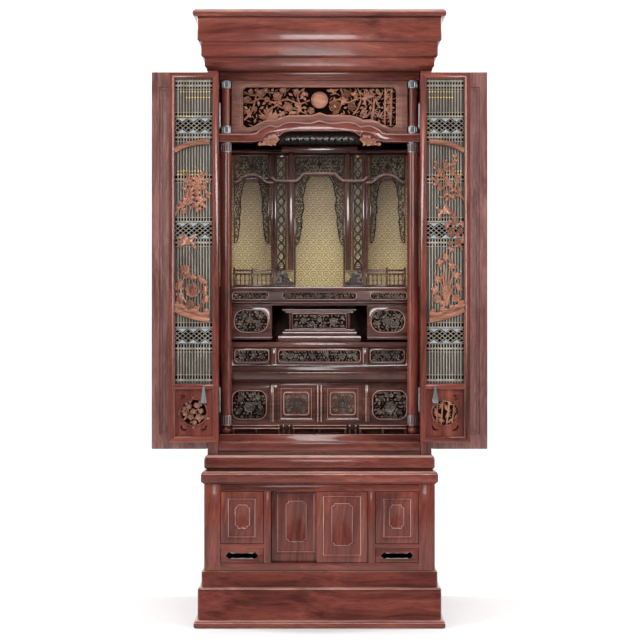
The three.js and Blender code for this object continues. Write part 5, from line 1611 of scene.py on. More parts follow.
def transom_carving():
    work = Carving("transom_openwork", 21, flat=0.9)
    inside = within(grown(TRANSOM_OPENING, -4))
    y = -186.0
    for points, foot, tip in (
            (((-219, 1492), (-196, 1482), (-165, 1494), (-132, 1482), (-92, 1490), (-58, 1478),
              (-28, 1488)), 3.6, 2.0),
            (((-216, 1512), (-186, 1502), (-160, 1512), (-120, 1508), (-84, 1521)), 3.2, 1.6),
            (((-215, 1432), (-196, 1452), (-186, 1478), (-176, 1524)), 3.6, 2.2),
            (((-160, 1432), (-142, 1462), (-118, 1478), (-100, 1524)), 3.4, 2.0),
            (((-132, 1482), (-104, 1466), (-66, 1462), (-34, 1446)), 3.0, 1.4),
            (((-62, 1446), (-56, 1474), (-62, 1500), (-44, 1524)), 3.0, 1.8),
            (((28, 1480), (54, 1490), (82, 1482), (104, 1492)), 3.0, 1.8),
            (((40, 1446), (58, 1468), (66, 1500), (60, 1524)), 3.2, 2.0),
            (((96, 1446), (112, 1470), (118, 1496), (108, 1524)), 2.6, 1.6)):
        work.twig(points, foot, tip, y, 1.0)
    for u0, w0, u1, w1 in ((186, 1414, 188, 1524), (203, 1414, 206, 1524), (112, 1514, 150, 1478),
                           (144, 1519, 172, 1466),
                           (150, 1430, 158, 1500)):
        work.culm(u0, w0, u1, w1, 2.9, y - 0.6, 5)
    for x, z, size in ((-206, 1489, 12), (-168, 1506, 13), (-120, 1498, 14), (-104, 1516, 11),
                       (-90, 1468, 14),
                       (-24, 1458, 11), (-196, 1512, 9), (-150, 1490, 9), (-66, 1512, 10), (-186, 1464, 9)):
        work.stamp("plum", x, z, size, size * 31, y - 2.2)
    for x, z, size in ((44, 1470, 17), (92, 1470, 12), (78, 1506, 11)):
        work.stamp("peony", x, z, size, 0, y - 2)
    work.stamp("crane", 132, 1492, 40, -18, y - 2, wide=-1)
    for x, z, turn in ((190, 1500, 90), (206, 1482, -70), (190, 1460, 60), (206, 1440, -100),
                       (150, 1456, 150),
                       (170, 1440, 30), (132, 1440, -40), (176, 1500, -60), (200, 1515, 20),
                       (120, 1456, 120)):
        work.cluster("blade", x, z, 23, 5, 150, turn - 75, y - 1.6)
    work.cluster("blade", -142, 1430, 46, 11, 150, -75, y - 0.4)
    for x, z, turn in ((-62, 1466, 60), (-44, 1500, -40), (34, 1512, 20), (66, 1488, 100), (98, 1500, 40),
                       (58, 1446, 170), (-76, 1456, 200), (-110, 1450, 150), (-206, 1450, 60),
                       (-150, 1520, -70)):
        work.cluster("leaf", x, z, 17, 4, 170, turn - 85, y - 0.8)
    foliage(work, lambda x, z: inside(x, z) and abs(x) > 30, -216, 216, 1410, 1524, 15, y + 2.5,
            ("leaf", "blade", "blade"), 0.95, 1.0)
    return work


carving = transom_carving().done("cabinet", "carved_wood", woods["carved_wood", "x"], "transom_carving",
                                 inside=((-217.5, -194.4, 1409.5), (217.5, TRANSOM_BACK, 1523.5)))
transom_disc = spun("transom_disc", [(0, 0), (19.5, 0), (20.5, 1.2), (21.5, 3.2), (23, 3.4), (24, 2.0),
                                     (24, -4), (0, -4)],
                    40, (0, 0), "Y")
transom_disc.data.transform(Matrix.Translation((0, -190 * MM, 1488 * MM)) @ Matrix.Scale(MM, 4))
wooden(smooth(recalculate(transom_disc)), "carved_wood")
dark_board = box_piece("transom_dark_board", -250, 250, -174, -170, 1395, 1541, 0.5, 1)
keep(dark_board, "cabinet", "inner_wood", shadow)
print("transom:", len(carving.data.polygons), "faces")

# %% [markdown]
# At the turn of the curved beam sits a small carved bracket of leaves and a blossom, in the orange wood of the
# transom. It fills a three-cornered field, and its mirror image fills the other side.

# %% Brackets of the curved beam
BRACKET = [(-176, 1357), (-120, 1357), (-117, 1384), (-146, 1384)]
bracket_work = Carving("beam_bracket_left", 5, flat=0.4)
foliage(bracket_work, within(grown(BRACKET, -1)), -174, -117, 1358, 1385, 8, -203.5,
        ("leaf", "broad_leaf", "plum"), 1.6)
bracket_work.stamp("peony", -136, 1370, 9, 0, -205)
bracket = bracket_work.done("cabinet", "carved_wood", woods["carved_wood", "x"],
                            inside=((-180, -207.6, 1354), (-112, -199, 1388)))
both_sides(bracket, "beam_bracket")

# %% [markdown]
# The curved beam under the transom has a rounded edge above and below, which follow its cusps and catch the light
# as two thin lines; the edges are painted pale as well, a painted highlight. Each edge is a small profile swept
# along the beam's outline.

# %% Rounded edges of the curved beam
BEAM_TOP = [(-285, 1391), (-191, 1391), (-172, 1402), (-150, 1413), (-136, 1415), (-119, 1412),
            (-105, 1420), (-79, 1425),
            (-28, 1422), (0, 1429)]
BEAM_UNDER = [(-285, 1367), (-183, 1367), (-165, 1376), (-148, 1391), (-121, 1394), (-117, 1382),
              (-103, 1393), (-79, 1398),
              (0, 1398)]
edges = []
for line, low, high in ((BEAM_TOP, -4.4, -0.4), (BEAM_UNDER, 0.6, 2.4)):
    whole = [(x * 0.9985, z) for x, z in line] + [(-x * 0.9985, z) for x, z in line[-2::-1]]
    middle, half = (low + high) / 2, (high - low) / 2
    section = [(middle + half * u, y) for u, y in ((-1, -207), (-1, -208.8), (-0.6, -210.8), (0, -211.6),
                                                   (0.6, -210.8),
                                                   (1, -208.8), (1, -207))]
    edges.append(smooth(along("edge", smooth_line(whole, 3), section), 50))
beam_edges = joined(edges, "beam_edges")
keep(beam_edges, "cabinet", "rosewood", woods["pale_edge", "x"])
print("curved beam: 2 rounded edges")

# %% [markdown]
# The columns are turned shafts between fluted metal caps. A turner works from a profile, and so does Spin: the
# outline is spun round the column's axis. The flutes are cut by drawing every second point of a ring inwards.

# %% Columns
COLUMN_X = -266.6


def turned(name, profile, sides, x, y):
    """A turned piece from [radius, height] in millimetres, at x, y."""
    piece = spun(name, [(r * MM, h * MM) for r, h in profile], sides, (x * MM, y * MM))
    return smooth(piece, 40)


def fluted(name, x, y, z0, z1, radius, flutes=14):
    points, faces = [], []
    count = flutes * 4
    levels = ((z0, 0.9, 0), (z0 + 0.8, 1.0, 0), (z0 + 3, 1.0, 0), (z0 + 3.6, 0.93, 1), (z1 - 3.6, 0.93, 1),
              (z1 - 3, 1.0, 0),
              (z1 - 0.8, 1.0, 0), (z1, 0.9, 0))
    for z, share, cut in levels:
        for k in range(count):
            a = 2 * math.pi * k / count
            reach = radius * share * (1 - 0.09 * cut * (k % 4 == 0) + 0.02 * cut * (k % 4 == 2))
            points.append(((x + reach * math.cos(a)) * MM, (y + reach * math.sin(a)) * MM, z * MM))
    for i in range(len(levels) - 1):
        for k in range(count):
            m = (k + 1) % count
            faces.append((i * count + k, i * count + m, (i + 1) * count + m, (i + 1) * count + k))
    faces += [tuple(range(count)), tuple((len(levels) - 1) * count + k for k in range(count))]
    return smooth(recalculate(mesh_from(points, faces, name)), 25)


shaft = turned("column_shaft", [(0, 536.4), (8, 536.4), (13.5, 541), (15.4, 547), (13.5, 553), (10, 556),
                                (10, 559), (16.5, 560),
                               (16.5, 1366), (0, 1366)], 28, COLUMN_X, -187)
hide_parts("column_left")
keep(shaft, "cabinet", "inner_wood", woods["rosewood", "z"])
twin = both_sides(shaft, "column_shaft")
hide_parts("column_right")
short_shaft = turned("short_column_shaft", [(0, 1391.6), (12.6, 1391.6), (12.6, 1542), (0, 1542)], 24,
                     COLUMN_X, -189)
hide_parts("short_column_left")
keep(short_shaft, "cabinet", "inner_wood", woods["rosewood", "z"])
twin = both_sides(short_shaft, "short_column_shaft")
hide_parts("short_column_right")
caps = [fluted("cap", COLUMN_X, -187, 560.5, 590, 17.8), fluted("cap", COLUMN_X, -187, 1337.5, 1366.6,
                                                                17.8),
        fluted("cap", COLUMN_X, -189, 1392, 1414, 14.8), fluted("cap", COLUMN_X, -189, 1520, 1542.4, 14.8)]
cap_set = joined(caps, "column_caps_left")
keep(cap_set, "cabinet", "silver_metal", dark_silver)
both_sides(cap_set, "column_caps")
print("columns: 4 shafts and 8 caps")

# %% [markdown]
# Hinges of such doors are bright barrels of five knuckles with a ball at each end, and their leaves lie on the
# edge of the wall. The pull is a silvery drop plate, narrow and round at the top and wider below.

# %% Hinges and pulls


def barrel_profile(z0, z1, radius):
    profile = [(0, z0), (radius * 0.6, z0 + 0.4), (radius * 0.95, z0 + 1.8), (radius * 0.5, z0 + 3.4)]
    foot, head = z0 + 3.6, z1 - 3.6
    for i in range(5):
        a, b = foot + (head - foot) * i / 5, foot + (head - foot) * (i + 1) / 5
        profile += [(radius * 0.86, a + 0.05), (radius, a + 0.5), (radius, b - 0.5),
                    (radius * 0.86, b - 0.05)]
    return profile + [(radius * 0.5, z1 - 3.4), (radius * 0.95, z1 - 1.8), (radius * 0.6, z1 - 0.4),
                      (0, z1)]


for level, (foot, head) in (("lower", (599.2, 673.8)), ("upper", (1399.2, 1473.8))):
    node = f"hinge_barrel_{level}_left"
    barrel = turned(node + "_knuckles", barrel_profile(foot, head, 3.2), 16, -281.3, -252)
    keep(barrel, body_of[node], "silver_metal", dark_silver, node)
    twin = mirror_copy(barrel, f"hinge_barrel_{level}_right_knuckles",
                       body_of[f"hinge_barrel_{level}_right"])
    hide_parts(f"hinge_barrel_{level}_right")

fold = [turned("fold", barrel_profile(z, z + 62, 2.1), 12, -471.6, -227.5) for z in (566, 986, 1412)]
fold_set = joined(fold, "fold_hinges_left")
keep(fold_set, "left_outer_near", "silver_metal", silver)
twin = mirror_copy(fold_set, "fold_hinges_right", "right_outer_near")

PULL_X = -324.0
plate_half = [(0, 675.6), (3.0, 674.8), (4.4, 672.4), (3.8, 668.6), (4.6, 662), (6.2, 652), (7.4, 640),
              (7.7, 632), (6.4, 629),
              (0, 628.4)]
plate = [(PULL_X + u, z) for u, z in plate_half] + [(PULL_X - u, z) for u, z in reversed(plate_half[1:-1])]
pull = layered("door_pull_plate_left", [(plate, -290.2), (plate, -292.4), (grown(plate, -1.6), -293.6)])
stud = spun("stud", [(0, 0.9), (1.5, 0.7), (2.2, 0), (2.2, -1.5), (0, -1.5)], 14, axis="Y")
stud.data.transform(Matrix.Translation((PULL_X * MM, -293 * MM, 670.4 * MM)) @ Matrix.Scale(MM, 4))
pull.data.materials.append(dark_silver)
stud.data.materials.append(dark_silver)
pull = smooth(joined([pull, recalculate(stud)], "door_pull_plate_left"), 30)
keep(pull, body_of["door_pull_left"], "silver_metal", None, "door_pull_left")
twin = mirror_copy(pull, "door_pull_plate_right", body_of["door_pull_right"])
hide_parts("door_pull_right")
print("hinges and pulls made")

# %% [markdown]
# The outer leaves are plain framed boards: a red-brown frame, a narrow groove, and a flat panel set a little
# back, which reflects so much that it looks grey. Their wood is paler and greyer than the rest, partly its own tone
# and partly a painted sheen, and the faces of the groove are black, a painted shadow. Their faces are cut on both
# sides, because a folded pair shows one face to the front and the other to the back.

# %% Outer leaves
for node, front, back in (("outer_leaf_near_left", -248.0, -228.0),
                          ("outer_leaf_far_left", -227.0, -207.0)):
    leaf = box_piece(node + "_panelled", -473.8, -317.2, front, back, 497.2, 1559.8, 1.8, 3)
    panel_line = boxed(-474 + 24, -317 - 24, 497 + 44, 1560 - 44)
    for y, way in ((front, 1), (back, -1)):
        layers = [(grown(panel_line, 1.6), y - way), (panel_line, y + way * 2.8)]
        boolean_cut(leaf, layered("cutter", layers))
        inner_line = grown(panel_line, -6)
        boolean_cut(leaf, layered("cutter", [(inner_line, y + way * 2), (inner_line, y + way * 5.2)]))
    leaf = smooth(leaf, 25)
    keep(leaf, body_of[node], "rosewood", woods["leaf_wood", "z"], node)
    # The faces of the groove get the black of a painted shadow.
    leaf.data.materials.append(shadow)
    for face in leaf.data.polygons:
        x, y, z = (c / MM for c in face.center)
        beside = -450.5 < x < -443.5 or -347.5 < x < -340.5
        sunk = min(abs(y - front), abs(y - back)) > 3.4
        face.material_index = 1 if beside and sunk and front + 0.5 < y < back - 0.5 else 0
    other = node.replace("left", "right")
    twin = mirror_copy(leaf, other + "_panelled", body_of[other])
    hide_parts(other)
print("outer leaves: 4")

# %% [markdown]
# The shrine's back is a gold cloth behind three bays. Each bay has an openwork frieze in a greyish frame with
# chamfered corners, a thin rainbow beam whose line dips and rises, and carved drops that narrow downwards. All
# of it is nearly black, and the gold behind glints through the gaps.

# %% Bays of the shrine
BAY_TOP, BAY_FOOT = 1350.0, 962.0
BAY_FRONT, BAY_BACK = -25.8, -8.0


def drop_outline(side_x, toward, foot, top, wide, narrow):
    """A carved drop beside an opening: wide at the top and cusped, running out to nothing at its foot."""
    line = [(side_x, top), (side_x, foot)]
    shares = ((0.0, 0.0), (0.06, 0.4), (0.2, 0.62), (0.35, 0.8), (0.42, 0.74), (0.55, 1.0), (0.68, 0.86),
              (0.8, 1.1),
              (0.9, 1.5), (1.0, 1.9))
    for share, across in shares:
        width = narrow * across if share < 0.85 else narrow + (wide - narrow) * (share - 0.85) / 0.15
        line.append((side_x + toward * width, foot + (top - foot) * share))
    return line


def bay(name, x0, x1, frieze_foot, wide, narrow, drop_foot, seed):
    middle = (x0 + x1) / 2
    pieces = []
    field = [(x0 + 6, frieze_foot + 5), (x1 - 6, frieze_foot + 5), (x1 - 6, BAY_TOP - 14),
             (x1 - 13, BAY_TOP - 7),
             (x0 + 13, BAY_TOP - 7), (x0 + 6, BAY_TOP - 14)]
    board = box_piece(name + "_frame", x0 + 0.2, x1 - 0.2, BAY_FRONT + 3, BAY_BACK, frieze_foot - 6,
                      BAY_TOP - 0.3, 0.8, 2)
    boolean_cut(board, layered("cutter", [(grown(field, 2), -40), (grown(field, 2), BAY_FRONT + 3),
                                          (field, BAY_FRONT + 5),
                                          (field, 0)]))
    pieces.append(smooth(board, 25))
    pieces.append(ring_bead(name + "_bead", grown(field, 2.2), 1.7, BAY_FRONT + 3, 1.8))
    for x in (x0 + 2.4, x1 - 2.4):
        pieces.append(box_piece(name + "_stile", x - 2.2, x + 2.2, BAY_FRONT + 2, BAY_BACK,
                                BAY_FOOT - 2 if wide > 35 else drop_foot,
                                frieze_foot, 0.9, 2))
    frame_set = joined(pieces, name + "_frame")
    wooden(frame_set, "inner_wood", "z")

    work = Carving(name + "_carving", seed, flat=0.5)
    foliage(work, within(grown(field, 1)), x0 + 4, x1 - 4, frieze_foot + 5, BAY_TOP - 6, 10.5, -15,
            ("leaf", "scroll", "leaf", "scroll"),
            0.95, 3)
    for u, size in ((0, 9), (-0.55, 6), (0.55, 6)):
        work.stamp("chrysanthemum", middle + u * (x1 - x0) / 2, (frieze_foot + BAY_TOP) / 2 + abs(u) * 12,
                   size, 0, -19)
    for side_x, toward in ((x0 + 4.4, 1), (x1 - 4.4, -1)):
        outline = drop_outline(side_x, toward, drop_foot, frieze_foot - 6, wide, narrow)
        xs = [x for x, z in outline]
        foliage(work, within(outline), min(xs), max(xs), drop_foot, frieze_foot - 6, 8.6, -15,
                ("scroll", "leaf", "scroll"), 0.95, 2.5)
        work.twig(outline[2:], 1.5, 1.5, -15, 0, 4, 3)
    work.done("cabinet", "inner_wood", woods["black_carved", "z"], name,
              inside=((x0, BAY_FRONT, BAY_FOOT - 4), (x1, BAY_BACK + 1.5, BAY_TOP)))


def rainbow_beam(name, line, y=-36.0):
    section = eased([(-6.4, y + 16), (-6.4, y + 5), (-3.6, y + 0.8), (1.2, y), (4.2, y + 2.2),
                     (5.2, y + 16)], 2.0)
    # The crest along the top of the beam is painted pale, a painted highlight.
    crest = [(1.4, y + 1.4), (1.6, y + 0.1), (2.8, y - 0.3), (4.4, y + 0.8), (5.2, y + 2.4), (3.0, y + 3.0)]
    edge = smooth(along(name + "_edge", smooth_line(line, 4), crest), 50)
    keep(edge, "cabinet", "inner_wood", woods["pale_edge", "x"])
    if name == "side_beam":
        both_sides(edge, "side_rainbow_beam_edge")
    return wooden(smooth(along(name, smooth_line(line, 4), section), 35), "inner_wood", "x")


bay("bay_front_left", -253, -148, 1277, 29, 17, 1087, 31)
bay("bay_front_right", 148, 253, 1277, 29, 17, 1087, 32)
bay("bay_front_middle", -75, 75, 1290, 42, 24, 1080, 33)
side_line = [(-254, 1265), (-244, 1266), (-236, 1270), (-222, 1282), (-208, 1287), (-190, 1287),
             (-176, 1281), (-163, 1270),
             (-154, 1266), (-140, 1265), (-134, 1268)]
both_sides(rainbow_beam("side_beam", side_line), "side_rainbow_beam")
middle_line = [(-141, 1279), (-135, 1274), (-128, 1270), (-100, 1269), (-72, 1269), (-62, 1273),
               (-48, 1287), (-36, 1290),
               (36, 1290), (48, 1287), (62, 1273), (72, 1269), (100, 1269), (128, 1270), (135, 1274),
               (141, 1279)]
rainbow_beam("middle_rainbow_beam", middle_line, -42.0)
print("bays: 3")

# %% [markdown]
# Between the bays stand narrow strips of wave lattice: two wavy bars that cross again and again, in a greyish
# frame, with gold behind. A red-brown pilaster stands beside each, after a black gap.

# %% Wave lattice strips
WAVE = 27.0  # from one crossing of the waves to the next


def wave_strip(name):
    x0, x1, foot, head = -141.8, -91.0, 1008.2, 1349.8
    middle = -113.0
    pieces = [box_piece("stile", a, b, -33.5, -14, foot, head, 1.0, 2)
              for a, b in ((x0, x0 + 5), (x0 + 6.5, -124.5), (-101.5, -97))]
    pieces.append(box_piece("head", -125, -101, -30, -14, head - 14, head, 1.0, 2))
    pieces.append(box_piece("foot", -125, -101, -30, -14, foot, foot + 12, 1.0, 2))
    frame_set = joined(pieces, name + "_frame")
    wooden(frame_set, "inner_wood", "z")
    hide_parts("lattice_strip_left")
    waves = []
    for way in (1, -1):
        line = []
        steps = int((head - foot - 26) / 3)
        for i in range(steps + 1):
            z = foot + 12 + (head - foot - 26) * i / steps
            line.append((middle + way * 9.0 * math.sin(math.pi * (z - foot) / WAVE), z))
        waves.append(along("wave", line, [(-1.9, -17), (-1.9, -21.5), (-0.6, -23.5), (0.6, -23.5),
                                          (1.9, -21.5), (1.9, -17)]))
    work = Carving("crossings", 4, flat=0.5)
    z = foot + WAVE
    while z < head - 20:
        work.stamp("heart", middle, z, 2.2, 0, -22)
        z += WAVE
    dark = work.done("cabinet", "inner_wood", woods["black_carved", "z"])
    waves = smooth(joined(waves, name + "_waves"), 40)
    wooden(waves, "black_carved", "z")
    cloth = box_piece(name + "_cloth", -126, -99.6, -13.6, -12.8, foot + 4, head - 6, 0)
    keep(cloth, "cabinet", "gold_brocade", brocade)
    both_sides(cloth, "wave_strip_cloth")
    pilaster = box_piece(name + "_pilaster", -92.0, -76.2, -39.5, -14, foot, head, 1.6, 3)
    wooden(pilaster, "inner_wood", "z")
    return frame_set, waves, dark, pilaster


strip_frame, strip_waves, strip_knots, strip_pilaster = wave_strip("lattice_strip")
twin = both_sides(strip_frame, "wave_strip_frame")
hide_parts("lattice_strip_right")
both_sides(strip_waves, "wave_strip_waves")
both_sides(strip_knots, "wave_strip_knots")
both_sides(strip_pilaster, "wave_strip_pilaster")
print("wave lattice: 2 strips")

# %% [markdown]
# In front of the gold cloth runs a small balustrade with turned balusters, as on a temple's veranda, and beside
# the middle bay it ends in a raked, carved hand-rail block.

# %% Balustrades
work_pieces = [box_piece("rail", -253, -134, -61, -53.5, 958.4, 965, 1.2, 2),
               box_piece("rail", -253, -134, -60, -55, 993, 998, 1.2, 2),
               box_piece("rail", -253, -130, -62, -54, 1003.5, 1009, 1.6, 3)]
for x in (-249, -196.5, -137):
    work_pieces.append(box_piece("post", x - 3.2, x + 3.2, -62.6, -54, 958.8, 1011.6, 1.0, 2))
    work_pieces.append(spun("knob", [(0, 1011 * MM), (2.2 * MM, 1011 * MM), (3.2 * MM, 1012.6 * MM),
                                     (2.0 * MM, 1014.4 * MM), (0, 1014.8 * MM)], 8,
                            (x * MM, -58 * MM)))
baluster = [(0, 964), (2.6, 964), (2.6, 967), (1.5, 969), (2.5, 976), (1.5, 983), (1.4, 988), (2.4, 991),
            (2.4, 994), (0, 994)]
for i in range(9):
    x = -243 + i * 12.4
    if abs(x + 196.5) > 4:
        work_pieces.append(spun("baluster", [(r * MM, h * MM) for r, h in baluster], 8,
                                (x * MM, -57.5 * MM)))
rails = smooth(joined(work_pieces, "balustrade_rails"), 35)
wooden(rails, "inner_wood", "x")
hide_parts("balustrade_left")
twin = both_sides(rails, "balustrade_rails")
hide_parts("balustrade_right")
RAKED = [(-133, 958.6), (-70, 958.6), (-70, 968), (-84, 975), (-97, 990), (-104, 1003), (-113, 1006),
         (-119, 1011), (-124, 1008),
         (-126, 1000), (-126, 972), (-133, 967)]
raked = smooth(layered("hand_rail_block", [(RAKED, -45), (RAKED, -59), (grown(RAKED, -1.2), -60.5)]), 30)
wooden(raked, "inner_wood", "x")
both_sides(raked, "hand_rail_block")
work = Carving("hand_rail_carving", 7, flat=0.45)
foliage(work, within(grown(RAKED, -5)), -130, -72, 962, 1006, 12, -60.5, ("scroll", "leaf", "leaf"), 1.3,
        1.0)
carved = work.done("cabinet", "inner_wood", woods["black_carved", "x"],
                   inside=((-131, -63.8, 960), (-70, -59, 1011)))
both_sides(carved, "hand_rail_carving")
print("balustrades: 2")

# %% [markdown]
# Over the middle bay hangs a dark canopy: a board with a rounded brim, a row of small bright beads, and a row of
# scallops like cloth drawn up in swags.

# %% Canopy
brim = [(-284, 1460), (-284, 1394), (-126, 1394), (-122, 1384), (-112, 1378)]
outline = brim + [(-x, z) for x, z in reversed(brim)]
canopy_board = smooth(layered("canopy_board", [(outline, -100.4), (outline, -106)]), 30)
wooden(canopy_board, "inner_wood", "x")
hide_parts("canopy")
work = Carving("canopy_carving", 9, flat=0.5)
for i in range(-8, 9):
    x = i * 14.0
    work.stamp("heart", x, 1390, 2.2, y=-107, wide=1.5)
    work.stamp("chrysanthemum", x + 7, 1397, 4.6, 0, -106.5)
for i in range(-6, 7):
    x = i * 18.6
    work.twig([(x - 9.3, 1382), (x - 6, 1374.5), (x, 1371), (x + 6, 1374.5), (x + 9.3, 1382)], 2.4, 2.4,
              -107)
    work.twig([(x - 7, 1384), (x, 1376.5), (x + 7, 1384)], 1.6, 1.6, -108)
    work.stamp("leaf", x, 1385, 11, 180, -108.5)
    work.stamp("plum", x - 9.3, 1384, 4, 0, -109)
foliage(work, lambda x, z: abs(x) < 124, -124, 124, 1398, 1420, 11, -106, ("scroll", "leaf"), 1.5, 1)
work.done("cabinet", "inner_wood", woods["black_carved", "x"],
          inside=((-128, -111.8, 1361), (128, -100.5, 1458)))
print("canopy made")

# %% [markdown]
# Below the gold cloth the shrine comes forward in steps, like an altar. The upper tier is a moulded shelf over a
# row of long carved slots, and at each side a box with a carved oval. Every carved field is the same job: an
# outline is cut into a board, a bead painted pale as a highlight is laid round it, foliage fills it, and a black
# ground of painted shadow lies beneath.

# %% Upper tier


def carved_field(name, outline, y, pitch, seed, flowers=(), depth=6.0, bead=1.3,
                 kinds=("leaf", "scroll", "leaf", "blade"),
                 tone="dark_carved", axis="x", body="cabinet"):
    """The bead round a sunk field and the foliage in it; flowers are (form, x, z, size)."""
    rim = ring_bead(name + "_rim", grown(outline, 1.6), bead * 0.9, y, 1.8)
    xs, zs = [x for x, z in outline], [z for x, z in outline]
    work = Carving(name + "_carving", seed, flat=0.5)
    foliage(work, within(grown(outline, -1)), min(xs), max(xs), min(zs), max(zs), pitch, y + depth * 0.55,
            kinds, 1.0, depth * 0.35)
    for form, x, z, size in flowers:
        work.stamp(form, x, z, size, size * 40, y + depth * 0.25)
    # Painted shadow: a black ground at the floor of the field, where shade falls among the foliage.
    ground = layered(name + "_ground", [(grown(outline, -0.4), y + depth - 1.1),
                                        (grown(outline, -0.4), y + depth - 0.2)])
    keep(ground, body, "inner_wood", shadow)
    carving = work.done(body, "inner_wood", woods[tone, axis],
                        inside=((min(xs) - 1, y - 0.6, min(zs) - 1), (max(xs) + 1, y + depth, max(zs) + 1)))
    # The rim is painted pale, a painted highlight.
    keep(rim, body, "inner_wood", woods["pale_edge", axis])
    return rim, carving


def slot_outline(x0, x1, z0, z1):
    return rounded_oblong(x0, x1, z0, z1, (z1 - z0) * 0.42, 4)


pieces = [run_of("shelf", -284.6, 284.6, [(-84, 944.5), (-84, 949.5), (-88, 950.5), (-88, 957.6),
                                          (138, 957.6), (138, 944.5)], 1.6),
          run_of("middle_shelf", -136, 136, [(-94, 944.8), (-94, 949.5), (-97.5, 950.5), (-97.5, 957.8),
                                             (-80, 957.8), (-80, 944.8)], 1.6),
          run_of("lower_lip", -284.6, 284.6, [(-84, 903), (-84, 908), (-88, 909.5), (-88, 913), (-80, 917),
                                              (100, 917), (100, 903)], 1.6)]
slot_fields = [(-253, -150), (-106, 106), (150, 253)]
slots = [slot_outline(a, b, 922, 941) for a, b in slot_fields]
pieces.append(sunk_board("slot_board", -284.6, 284.6, -81, -70, 915, 946,
                         [(line, 6, 1.5) for line in slots], 0.4))
for side in (-1, 1):
    a, b = sorted((side * 284.6, side * 138.4))
    oval = rounded_oblong(*sorted((side * 246, side * 151)), 827, 889, 29, 8)
    pieces.append(sunk_board("side_box", a, b, -105, -88, 814.3, 903, [(oval, 7, 2)], 1.4))
    pieces.append(box_piece("box_side", side * 141 - 2.6, side * 141 + 2.6, -90, 44, 814.3, 903, 0.8, 2))
    pieces.append(run_of("box_foot", a, b, [(-109, 804), (-109, 812), (-106, 815.5), (-88, 815.5),
                                            (-88, 804)], 1.6))
upper_piece = joined(pieces, "upper_tier_boards")
wooden(smooth(upper_piece, 30), "inner_wood")
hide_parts("upper_tier")
for i, line in enumerate(slots):
    carved_field(f"slot_{i + 1}", line, -81, 8.5, 40 + i, [("plum", sum(slot_fields[i]) / 2, 931, 5.5)])
for side, side_name in ((-1, "left"), (1, "right")):
    oval = rounded_oblong(*sorted((side * 246, side * 151)), 827, 889, 29, 8)
    middle = side * 198.5
    carved_field("oval_" + side_name, oval, -105, 10.5, 44 + side, [
        ("chrysanthemum", middle - 4, 862, 13), ("peony", middle + 22, 848, 9),
        ("plum", middle - 30, 852, 8),
        ("plum", middle + 30, 872, 7), ("chrysanthemum", middle - 28, 876, 7)], 7,
        kinds=("leaf", "blade", "leaf", "scroll"))
print("upper tier:", len(slots), "slots and 2 boxes")

# %% [markdown]
# In the middle stands the dais, a pedestal of mouldings that step out downwards, round a carved panel between
# two small posts. Its mouldings are profiles drawn once and run sideways.

# %% Dais
DAIS_STEPS = ((107, -97, 886.5, 892.8), (98, -93, 880.5, 887), (101, -99, 827, 834.5),
              (107, -105, 816, 827.5),
              (119, -113, 797.4, 816))
pieces = [run_of("dais_step", -half, half, [(y, z0), (y, z1), (44, z1), (44, z0)], 2.2) for half, y, z0,
          z1 in DAIS_STEPS]
dais_outline = boxed(-77, 77, 838, 878)
pieces.append(sunk_board("dais_panel", -81, 81, -89, -70, 833, 882, [(dais_outline, 6, 1.2)], 0.8))
for x in (-86, 86):
    profile = [(0, 834), (4.4, 834), (4.4, 838), (2.8, 840), (3.4, 858), (2.8, 876), (4.4, 878),
               (4.4, 881.5), (0, 881.5)]
    pieces.append(spun("post", [(r * MM, h * MM) for r, h in profile], 12, (x * MM, -87 * MM)))
apron_line = [(-118, 797.5), (-118, 808), (-98, 809), (-80, 804), (-60, 803), (-44, 799), (44, 799),
              (60, 803), (80, 804),
              (98, 809), (118, 808), (118, 797.5)]
pieces.append(layered("dais_apron", [(apron_line, -105), (apron_line, -112.8),
                                     (grown(apron_line, -0.8), -114)]))
dais = joined(pieces, "dais_boards")
wooden(smooth(dais, 35), "inner_wood")
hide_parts("dais")
carved_field("dais", dais_outline, -89, 10.5, 51, [("chrysanthemum", -46, 860, 11), ("peony", 40, 856, 12),
                                                   ("plum", 0, 862, 8),
                                                 ("plum", 66, 868, 6), ("plum", -68, 848, 6)], 6)
print("dais:", len(DAIS_STEPS), "mouldings")

# %% [markdown]
# Three small drawers sit in a row behind upright stiles, each with a bead painted pale as a highlight. A drawer is a
# real box: a carved front, two sides, a back and a bottom, so it looks right when it is pulled out.

# %% Small drawers


def small_drawer(node, x0, x1, seed, flowers):
    z0, z1, front, end = 733.4, 780.8, -129.0, 110.5
    field = rounded_oblong(x0 + 5, x1 - 5, z0 + 7.5, z1 - 7.5, 9, 5)
    pieces = [sunk_board("front", x0, x1, front, front + 14, z0, z1, [(field, 6, 1.6)], 1.4)]
    for a, b in ((x0 + 1.5, x0 + 7), (x1 - 7, x1 - 1.5)):
        pieces.append(box_piece("side", a, b, front + 12, end, z0 + 1, z1 - 6, 0.6, 1))
    pieces.append(box_piece("back", x0 + 5, x1 - 5, end - 6, end, z0 + 1, z1 - 8, 0.6, 1))
    pieces.append(box_piece("bottom", x0 + 5, x1 - 5, front + 12, end - 3, z0 + 2, z0 + 5.5, 0.4, 1))
    drawer = joined(pieces, node + "_box")
    keep(smooth(drawer, 28), body_of[node], "inner_wood", woods["inner_wood", "x"], node)
    carved_field(node, field, front, 9.5, seed, flowers, 6, body=body_of[node])


